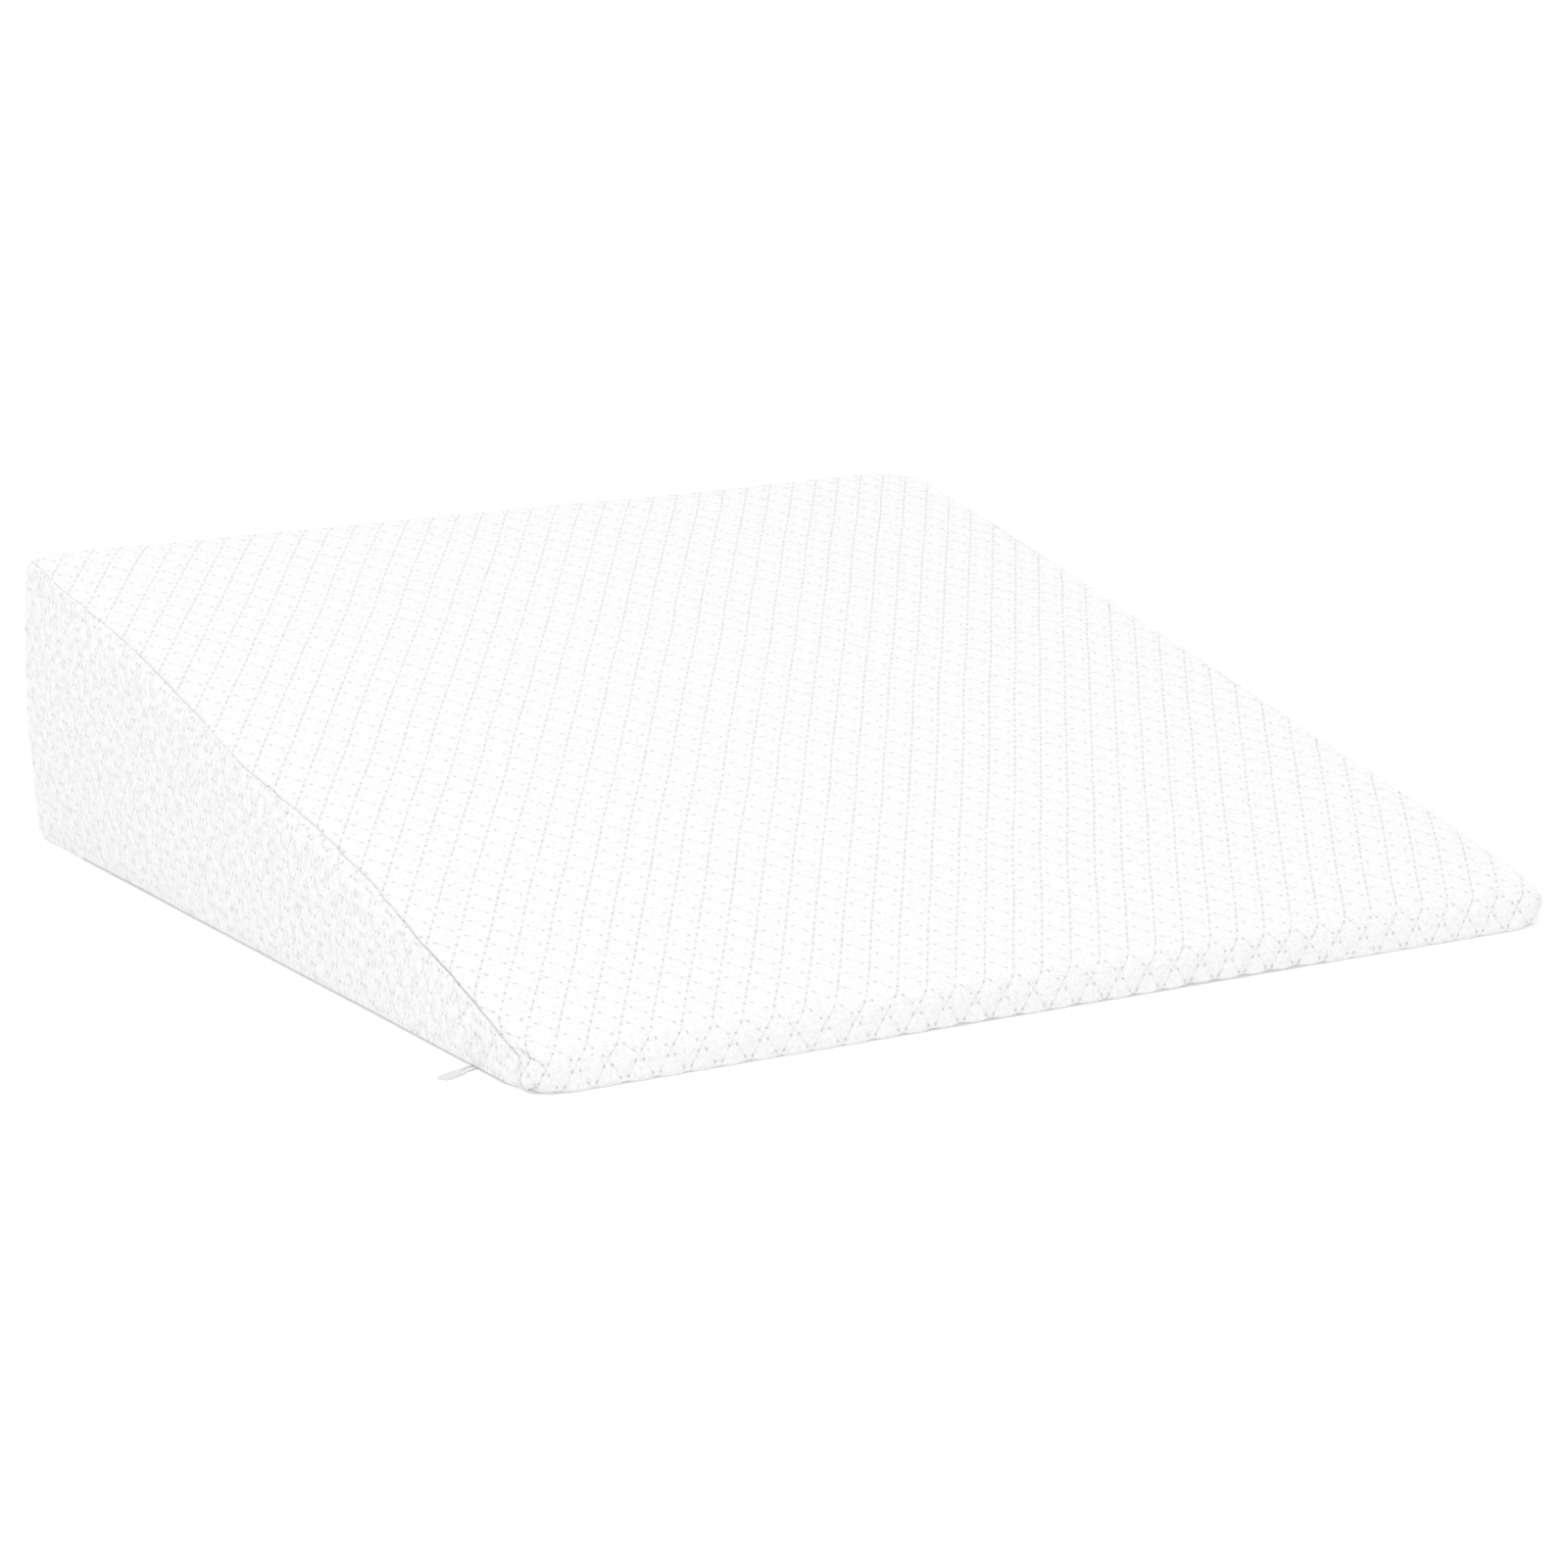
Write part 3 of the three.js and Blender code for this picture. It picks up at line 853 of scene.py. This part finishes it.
@dataclass
class QuiltedCover:
    """The quilted part of the cover: one wrap panel and two side panels, sewn edge to edge."""

    form: WedgeForm
    toe: float = 8.0 * MM
    under: float = 14.0 * MM
    side_under: float = 4.0 * MM
    zip_clearance: float = 1.3 * MM
    samples: int = 12
    edge_columns: int = 24
    side_rows: int = 89
    zone: float = 26.0 * MM
    quilt_across: float = 17.8 * MM
    quilt_along: float = 28.0 * MM
    side_across: float = 18.0 * MM
    side_along: float = 27.3 * MM
    side_turn_deg: float = 4.0
    side_puff: float = 0.6 * MM

    # How far the seam has crept from the edge onto the slope, or down the side where it is negative:
    # share of the depth from the front, then millimetres. The left and the right were sewn differently.
    LEFT_CREEP = (
        (0.022, -7.4), (0.075, -4.5), (0.14, 0.4), (0.20, 2.2), (0.28, 7.0), (0.40, 7.4),
        (0.52, 0.4), (0.61, 4.4), (0.76, 6.8), (0.92, 0.2), (1.0, 0.0),
    )
    RIGHT_CREEP = (
        (0.022, -7.0), (0.10, -3.0), (0.25, 2.5), (0.45, 5.5), (0.62, 1.5), (0.80, 4.0), (1.0, 0.0),
    )

    def creep(self, side: Side, y: Array) -> Array:
        """How far the seam lies in from the edge at y, smoothed between the given places."""
        places = np.array(self.LEFT_CREEP if side is Side.LEFT else self.RIGHT_CREEP)
        share = (np.asarray(y, float) + self.form.half_depth) / (2 * self.form.half_depth)
        fine = np.linspace(0, 1, 400)
        line = np.interp(fine, places[:, 0], places[:, 1])
        weights = np.hanning(31)
        line = np.convolve(np.pad(line, 15, mode="edge"), weights / weights.sum(), "valid")
        tug = 0.45 * ripple(share * 0, share * 2 * self.form.half_depth, 27 * MM, 2.2)
        return (np.interp(share, fine, line) + tug) * MM

    def lengths(self) -> tuple[float, float, float]:
        """Lengths of the wrap panel up the front, over the slope and down the back."""
        form = self.form
        run = math.hypot(2 * form.half_depth, form.back_height - form.front_height)
        return form.front_height, run, form.back_height

    def strip_length(self) -> float:
        """Length of the wrap panel from hem to hem."""
        return self.toe + sum(self.lengths()) + self.under

    def profile(self, s: Array) -> tuple[Array, Array]:
        """Give y and z on the sharp outline, at distances along the strip from the front edge's foot."""
        form = self.form
        front, run, back = self.lengths()
        t = np.clip((s - front) / run, 0, 1)
        y = -form.half_depth + 2 * form.half_depth * t + np.maximum(-s, 0)
        z = np.where(s < front, np.maximum(s, 0), form.slope(-form.half_depth + 2 * form.half_depth * t))
        down = s - front - run
        z = np.where(down > 0, np.maximum(back - down, 0), z)
        y = y - np.maximum(down - back, 0)
        return y, z

    def seam_points(self, side: Side, s: Array) -> tuple[Array, Array]:
        """Find where the wrap panel's rows end.

        Args:
            side: The side of the cushion.
            s: Distances along the strip from the front edge's foot.

        Returns:
            Points on the sharp outline, and how far each lies past the edge, negative if short of it.
        """
        form = self.form
        front, run, _ = self.lengths()
        y, z = self.profile(s)
        corner = form.front_corner
        t = np.clip((y + form.half_depth) / (4.5 * corner), 0, 1)
        seam_y = y + corner * (1 - t) ** 2
        creep = self.creep(side, seam_y)
        side_z = form.slope(seam_y) + np.minimum(creep, 0)
        on_front = s < front
        on_back = s > front + run
        first = -form.half_depth + corner
        top = form.slope(np.array(first)) + np.minimum(self.creep(side, np.array(first)), 0)
        side_z = np.where(on_front, top * np.clip(s / front, 0, 1), side_z)
        side_z = np.where(on_back, z, side_z)
        seam_y = np.where(on_front, first, np.where(on_back, y, seam_y))
        inset = np.where(on_back | on_front, 0, np.maximum(creep, 0))
        tucked = self.side_under * np.clip(-s / self.toe, 0, 1)
        x = side.value * (form.half_width - inset - tucked)
        seam = np.stack([x, seam_y, side_z], -1)
        edge = np.stack([np.full_like(y, side.value * form.half_width), y, z], -1)
        past = np.where(inset > 0, -inset, np.linalg.norm(seam - edge, axis=-1))
        return seam, past

    def wrap_grid(self) -> tuple[ClothGrid, Quilting]:
        """Lay out the wrap panel's net, with its columns and rows on the quilting where it is flat."""
        form = self.form
        step = self.quilt_across / self.samples
        rows = 4 * round(self.strip_length() / (self.quilt_along / self.samples) / 4) + 1
        s_line = np.linspace(0, self.strip_length(), rows) - self.toe
        along = (s_line[1] - s_line[0]) * self.samples
        inner = math.floor((form.half_width - self.zone) / step)
        inner -= inner % 2
        flat = np.arange(-inner, inner + 1) * step
        ease = np.linspace(0, 1, self.edge_columns + 1)[1:]
        ease = ease * 0.8 + 0.2 * (1 - (1 - ease) ** 3)
        y, z = self.profile(s_line)
        u_parts, p_parts, gaps = [], [], []
        for side in (Side.LEFT, Side.RIGHT):
            seam, past = self.seam_points(side, s_line)
            end = (form.half_width + past)[:, None]
            u = flat[-1] + (end - flat[-1]) * ease[None, :]
            beyond = np.clip((u - form.half_width) / np.maximum(past[:, None], 1e-9), 0, 1)
            beyond = np.where(past[:, None] > 0, beyond, 0)
            edge = np.stack([np.full_like(y, side.value * form.half_width), y, z], -1)[:, None, :]
            across = side.value * np.minimum(u, form.half_width)
            on_top = np.stack(np.broadcast_arrays(across, y[:, None], z[:, None]), -1)
            slid = np.clip((u - flat[-1]) / (end - flat[-1]), 0, 1)[..., None] ** 2
            slip = (seam - np.stack([seam[:, 0], y, z], -1))[:, None, :]
            shift = np.where(past[:, None, None] > 0, 0, slip)
            p = on_top + shift * slid + (seam[:, None, :] - edge) * beyond[..., None]
            u_parts.append(side.value * u)
            p_parts.append(p)
            gaps.append(end)
        u = np.concatenate([u_parts[0][:, ::-1], np.broadcast_to(flat, (rows, flat.size)), u_parts[1]], 1)
        middle = np.stack(np.broadcast_arrays(flat[None, :], y[:, None], z[:, None]), -1)
        sharp = np.concatenate([p_parts[0][:, ::-1], middle, p_parts[1]], 1)
        s_all = np.broadcast_to(s_line[:, None], u.shape).copy()
        hem_gap = np.minimum(s_all + self.toe, self.strip_length() - self.toe - s_all)
        seam_gap = np.minimum(u + gaps[0], gaps[1] - u)
        drift = smooth_step(seam_gap, 0, 60 * MM) * 0.7 * MM
        sharp[..., 0] += ripple(u, s_all, 150 * MM, 1.1) * drift
        quilt = Quilting(self.quilt_across, along)
        return ClothGrid(sharp, u, s_all, seam_gap, hem_gap), quilt

    def side_grid(self, side: Side) -> tuple[ClothGrid, Quilting]:
        """Lay out a side panel's net, in columns from its lower hem up to the seam."""
        form = self.form
        first = -form.half_depth + form.front_corner
        columns = 4 * round((form.half_depth - first) / (self.side_across / self.samples) / 4) + 1
        y = np.linspace(first, form.half_depth, columns)[None, :]
        ease = np.linspace(0, 1, self.side_rows)[:, None]
        ease = ease - 0.06 * np.sin(2 * np.pi * ease) / (2 * np.pi)
        by_zip = form.zip_share(y) * (side is Side.LEFT)
        low = self.zip_clearance * by_zip - self.side_under * (1 - by_zip)
        creep = self.creep(side, y)
        slope = form.slope(y)
        top = slope + creep
        v = low + (top - low) * ease
        z = np.clip(v, 0, slope)
        x = side.value * (form.half_width - np.maximum(v - slope, 0) - np.maximum(-v, 0))
        y_all = np.broadcast_to(y, v.shape)
        sharp = np.stack([x, y_all, z], -1)
        top_gap = (top - v) * math.cos(math.atan(form.lean()))
        gap = np.minimum(top_gap, np.minimum(y_all - first, form.half_depth - y_all))
        quilt = Quilting(self.side_across, self.side_along, self.side_turn_deg, self.side_puff)
        return ClothGrid(sharp, y_all.copy(), v, gap, v - low), quilt

    def build(self, frame_body: str) -> None:
        """Make the three quilted panels and dress them."""
        maker = PanelMaker(self.form)
        wrap, quilt = self.wrap_grid()
        knit = QuiltedKnit(quilt.across, quilt.along).material("double_jersey_knit_quilted")
        fainter = {"pit_tone": 0.7, "line_tone": 0.08, "line_depth": 0.08, "pit_mm": 3.2, "pit_stretch": 1.5}
        side_look = QuiltedKnit(self.side_across, self.side_along, **fainter)
        side_knit = side_look.material("double_jersey_knit_quilted_side")
        piece = maker.panel("wrap_panel", wrap, quilt, 0.7, False)
        finish_piece(piece, knit, frame_body, ("cover_wrap_panel",))
        for side, name, seed in ((Side.LEFT, "side_panel_left", 3.1), (Side.RIGHT, "side_panel_right", 4.6)):
            grid, side_quilt = self.side_grid(side)
            piece = maker.panel(name, grid, side_quilt, seed, side is Side.LEFT)
            finish_piece(piece, side_knit, frame_body, (f"cover_{name}",))


def cloth_sheet(name: str, middle: Array, flat_mm: Array, thickness: float) -> Piece:
    """Make a cloth sheet from rows and columns of points halfway through it, and their places when flat."""
    rows, columns = middle.shape[:2]
    quads = quads_of(np.arange(rows * columns).reshape(rows, columns))
    piece = mesh_object(name, middle, quads.tolist(), "Cloth", flat_mm)
    apply_modifier(piece, "SOLIDIFY", thickness=thickness, offset=0.0)
    edit_all((bpy.ops.mesh.normals_make_consistent, {"inside": False}))
    return piece


def run_length(line: Array) -> Array:
    """Distance along a line of points, from its first point."""
    steps = np.linalg.norm(np.diff(line, axis=0), axis=-1)
    return np.concatenate([[0.0], np.cumsum(steps)])


@dataclass
class BottomPanel:
    """The plain cloth underneath, turned up and folded over beside the zip."""

    form: WedgeForm
    thickness: float = 1.2 * MM
    floor_gap: float = 0.2 * MM
    rear_margin: float = 15.5 * MM
    edge_margin: float = 4.4 * MM
    front_margin: float = 5.0 * MM
    tab_room: float = 1.3 * MM
    tuck: float = 1.3 * MM
    tuck_reach: float = 12.0 * MM
    cover: float = 0.8 * MM
    step: float = 8.0 * MM
    fold_points: int = 9
    fold_width: float = 10.5 * MM
    thin_fold: float = 1.5 * MM
    zip_start: Span = (-292 * MM, -284 * MM)
    zip_end: Span = (276 * MM, 288 * MM)
    tab_start: Span = (-324 * MM, -314 * MM)
    tab_end: Span = (-286 * MM, -280 * MM)
    tab_across: Span = (-305 * MM, -290 * MM)

    def trim(self, place: float, corner: float) -> float:
        """How far a row of the panel ends short of its straight edge, inside a round front corner."""
        over = max(0.0, corner - (place + self.form.half_depth))
        return corner - math.sqrt(max(corner**2 - over**2, 0))

    def section(self, left: float, right: float, fold: float, inner: float, columns: int) -> Array:
        """Give x and z of one row of the panel, from the folded edge to the right edge."""
        low = self.floor_gap + self.thickness / 2
        radius = fold / 2
        turn = np.linspace(np.pi / 2, 3 * np.pi / 2, self.fold_points)
        bend = np.stack([left + radius + radius * np.cos(turn), low + radius + radius * np.sin(turn)], -1)
        top = np.array([[inner, low + fold], [(inner + left + radius) / 2, low + fold]])
        flat = np.linspace(left + radius, right, columns + 1)[1:]
        return np.concatenate([top, bend, np.stack([flat, np.full_like(flat, low)], -1)])

    def build(self) -> None:
        """Make the panel and dress it."""
        low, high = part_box("cover_bottom_panel")
        form = self.form
        y = np.arange(-form.half_depth + self.front_margin, form.half_depth - self.rear_margin, self.step)
        columns = round((high[0] - low[0]) / self.step)
        rows = []
        for place in y:
            beside = float(window(place, self.zip_start, self.zip_end))
            left = -form.half_width + self.edge_margin + self.trim(place, form.front_corner)
            right = form.half_width - self.edge_margin - self.trim(place, form.right_front_corner)
            left = blend(left, low[0], beside)
            full_fold = high[2] - self.floor_gap - self.thickness
            fold = blend(self.thin_fold, full_fold, beside)
            section = self.section(left, right, fold, left + self.fold_width, columns)
            before = window(place, self.tab_start, self.tab_end)
            section[:, 1] += self.tab_room * before * (1 - smooth_step(section[:, 0], *self.tab_across))
            tucked = 1 - smooth_step(place + form.half_depth, self.front_margin, self.tuck_reach)
            section[:, 1] += self.tuck * tucked
            rows.append(np.insert(section, 1, place, axis=1))
        middle = np.array(rows)
        for _ in range(3):
            outside = np.maximum(form.distance(middle) + self.cover, 0)
            middle = middle - outside[..., None] * form.normal(middle)
        across = run_length(middle[len(rows) // 2])
        flat = np.stack(np.broadcast_arrays(across[None, :], y[:, None]), -1) / MM
        cloth = WovenPolyester("#eeeeec", "#d8d8d5", 0.55).material("polyester_cloth_plain_woven")
        piece = cloth_sheet("bottom_panel", middle, flat, self.thickness)
        finish_piece(piece, cloth, "root", ("cover_bottom_panel",))


@dataclass(frozen=True)
class FoamFilling:
    """The two foam pieces: a firm wedge and the memory foam laminated on its slope."""

    form: WedgeForm
    cell_size: float = 4.5 * MM
    clearance: float = 3.4 * MM

    def block(self, node: str, name: str, foam: CutFoam, finish: str) -> None:
        """Make one foam piece with the softened edges of cut foam."""
        piece = new_object(name, frame["nodes"][node].data.copy())
        apply_modifier(piece, "REMESH", mode="VOXEL", voxel_size=self.cell_size)
        apply_modifier(piece, "SMOOTH", factor=0.5, iterations=3)
        bpy.ops.object.shade_smooth()
        points = np.zeros(3 * len(piece.data.vertices), np.float32)
        piece.data.vertices.foreach_get("co", points)
        p = points.reshape(-1, 3).astype(float)
        for _ in range(3):
            over = np.maximum(self.form.distance(p) + self.clearance, 0)
            p = p - over[:, None] * self.form.normal(p)
        piece.data.vertices.foreach_set("co", p.astype(np.float32).ravel())
        piece.data.update()
        finish_piece(piece, foam.material(finish), "root", (node,))

    def build(self) -> None:
        """Make both foam pieces."""
        firm = CutFoam("#f1ead2", "#dccfa4", 1.2)
        memory = CutFoam("#f7f3e6", "#e7dec3", 0.6)
        self.block("foam_base_wedge", "foam_wedge", firm, "polyurethane_foam_band_knife_cut")
        self.block("memory_foam_layer", "memory_foam", memory, "memory_foam_band_knife_cut")


@dataclass(frozen=True)
class Zip:
    """The coil zip along the left lower edge, facing down, with its slider at the closed front end."""

    tape_thickness: float = 0.5 * MM
    tape_step: float = 6.0 * MM
    pitch: float = 1.27 * MM
    wire: float = 0.29 * MM
    wire_sides: int = 6
    turn_steps: int = 8
    tab_length: float = 34.0 * MM
    tab_thickness: float = 0.8 * MM
    root_half: float = 3.0 * MM
    grip_half: float = 4.0 * MM
    eye_half: float = 1.55 * MM
    eye_end: float = 18.0 * MM
    tab_drop: float = 2.05 * MM
    neck: Span = (3.7 * MM, 6.3 * MM)
    tab_heading_deg: float = 206.0

    def tape(self, name: str, node: str, line: Array, cloth: Material) -> None:
        """Make one woven tape by running a line of x and z, halfway through the tape, along the zip."""
        low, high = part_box(node)
        y = np.arange(low[1], high[1], self.tape_step)
        rows = np.stack([np.insert(line, 1, place, axis=1) for place in y])
        across = run_length(line)
        rows[..., 2] += 0.06 * MM * np.sin(y / (23 * MM))[:, None] * np.linspace(0, 1, len(line))[None, :]
        flat = np.stack(np.broadcast_arrays(across[None, :], y[:, None]), -1) / MM
        piece = cloth_sheet(name, rows, flat, self.tape_thickness)
        finish_piece(piece, cloth, "root", (node,))

    def tapes(self) -> None:
        """Make the outer tape, which turns up behind the side panel, and the flat inner tape."""
        cloth = WovenPolyester("#f1f1ef", "#d9d9d6", 0.4).material("polyester_tape_herringbone_woven")
        low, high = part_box("zip_tape_outer")
        half = self.tape_thickness / 2
        bend = 1.2 * MM
        turn = np.linspace(-np.pi / 2, -np.pi, 7)
        x, z = low[0] + half + bend, low[2] + half + bend
        corner = np.stack([x + bend * np.cos(turn), z + bend * np.sin(turn)], -1)
        outer = np.concatenate([[[high[0], low[2] + half]], corner, [[low[0] + half, high[2]]]])
        self.tape("zip_tape_sewn_to_side", "zip_tape_outer", outer, cloth)
        low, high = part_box("zip_tape_inner")
        inner = np.stack([np.linspace(low[0], high[0], 6), np.full(6, (low[2] + high[2]) / 2)], -1)
        self.tape("zip_tape_sewn_to_hem", "zip_tape_inner", inner, cloth)

    def coil(self, name: str, node: str, nylon: Material) -> None:
        """Wind one row of nylon coil from a single turn of monofilament."""
        low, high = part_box(node)
        turns = math.floor((high[1] - low[1] - 2 * self.wire) / self.pitch)
        ring = (high[0] - low[0]) / 2 - self.wire
        flatten = ((high[2] - low[2]) / 2 - self.wire) / ring
        deselect_all()
        bpy.ops.mesh.primitive_circle_add(vertices=self.wire_sides, radius=self.wire)
        piece = bpy.context.object
        piece.name = name
        edit_all((bpy.ops.transform.translate, {"value": (ring, 0, 0)}))
        turn = {"axis": "Y", "angle": 2 * math.pi, "screw_offset": self.pitch, "iterations": turns}
        apply_modifier(piece, "SCREW", **turn, steps=self.turn_steps, render_steps=self.turn_steps)
        edit_all(
            (bpy.ops.transform.resize, {"value": (1, 1, flatten), "center_override": (0, 0, 0)}),
            (bpy.ops.mesh.fill_holes, {"sides": self.wire_sides}),
            (bpy.ops.mesh.normals_make_consistent, {"inside": False}),
        )
        bpy.ops.object.shade_smooth()
        piece.location = ((low[0] + high[0]) / 2, low[1] + self.wire, (low[2] + high[2]) / 2)
        settle(piece)
        finish_piece(piece, nylon, "root", (node,))

    def tab_part(self, ends: Span, half: float, corner: float) -> Piece:
        """Make a flat bar of the tab, from one end to the other, with its upright edges rounded."""
        deselect_all()
        bpy.ops.mesh.primitive_cube_add(size=1)
        part = bpy.context.object
        part.scale = (ends[1] - ends[0], 2 * half, self.tab_thickness)
        part.location = ((ends[0] + ends[1]) / 2, 0, 0)
        settle(part)
        bpy.context.tool_settings.mesh_select_mode = (False, True, False)
        bpy.ops.object.mode_set(mode="EDIT")
        bpy.ops.mesh.select_all(action="DESELECT")
        bpy.ops.object.mode_set(mode="OBJECT")
        for edge in part.data.edges:
            a, b = (part.data.vertices[i].co for i in edge.vertices)
            edge.select = abs(a.z - b.z) > 0.5 * self.tab_thickness
        bpy.ops.object.mode_set(mode="EDIT")
        bpy.ops.mesh.bevel(offset=corner, segments=8)
        bpy.ops.object.mode_set(mode="OBJECT")
        return part

    def pull_tab(self, enamel: Material) -> None:
        """Make the pull tab: a long eye at its root, a step down to the ground, and a wider grip."""
        root = (-self.root_half, self.eye_end + 3 * MM)
        piece = self.tab_part(root, self.root_half, 0.98 * self.root_half)
        grip = self.tab_part((self.eye_end + 0.5 * MM, self.tab_length), self.grip_half, 2.4 * MM)
        eye = self.tab_part((-self.eye_half, self.eye_end), self.eye_half, 0.98 * self.eye_half)
        eye.scale = (1, 1, 3)
        settle(eye)
        apply_modifier(piece, "BOOLEAN", operation="UNION", object=grip, solver="EXACT")
        apply_modifier(piece, "BOOLEAN", operation="DIFFERENCE", object=eye, solver="EXACT")
        for part in (grip, eye):
            bpy.data.objects.remove(part)
        piece.name = "pull_tab"
        make_active(piece)
        cuts = [{"plane_co": (cut, 0, 0), "plane_no": (1, 0, 0)} for cut in np.linspace(*self.neck, 9)]
        edit_all(*((bpy.ops.mesh.bisect, cut) for cut in cuts))
        for vertex in piece.data.vertices:
            vertex.co.z -= self.tab_drop * float(smooth_step(vertex.co.x, *self.neck))
        sharp = {"limit_method": "ANGLE", "angle_limit": math.radians(50)}
        apply_modifier(piece, "BEVEL", width=0.16 * MM, segments=2, **sharp)
        bpy.ops.object.shade_smooth_by_angle(angle=math.radians(35))
        joint = next(j for j in frame["joints"] if j["name"] == "zip_tab_swing")
        piece.rotation_euler.z = math.radians(self.tab_heading_deg)
        piece.location = joint["pos_m"]
        settle(piece)
        finish_piece(piece, enamel, "pull_tab", ("zip_pull_tab",))

    def build(self) -> None:
        """Make the zip, and give the slider and the stops that the frame carries their finish."""
        self.tapes()
        nylon = NylonMonofilament().material("nylon_monofilament_coiled")
        self.coil("zip_coil_at_side", "zip_coil_outer", nylon)
        self.coil("zip_coil_at_hem", "zip_coil_inner", nylon)
        enamel = BakedEnamel().material("zinc_die_cast_white_enamel")
        for node in ("zip_slider", "zip_top_stop_outer", "zip_top_stop_inner", "zip_bottom_stop"):
            carried = frame["nodes"][node]
            carried.data.materials.clear()
            carried.data.materials.append(enamel)
            LOG.info("%s keeps its frame shape", node)
        self.pull_tab(enamel)


def wedge_form() -> WedgeForm:
    """Read the cushion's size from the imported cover."""
    low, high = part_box("cover_wrap_panel")
    front_share = 0.1165
    back_height = 1.0075 * high[2]
    return WedgeForm(
        half_width=(high[0] - low[0]) / 2,
        half_depth=(high[1] - low[1]) / 2,
        front_height=front_share * back_height,
        back_height=back_height,
    )


def main() -> None:
    """Build the studio and the cushion, piece by piece."""
    logging.basicConfig(level=logging.INFO, format="%(name)s: %(message)s")
    Studio().build()
    form = wedge_form()
    QuiltedCover(form).build("root")
    BottomPanel(form).build()
    FoamFilling(form).build()
    Zip().build()


if __name__ == "__main__":
    main()
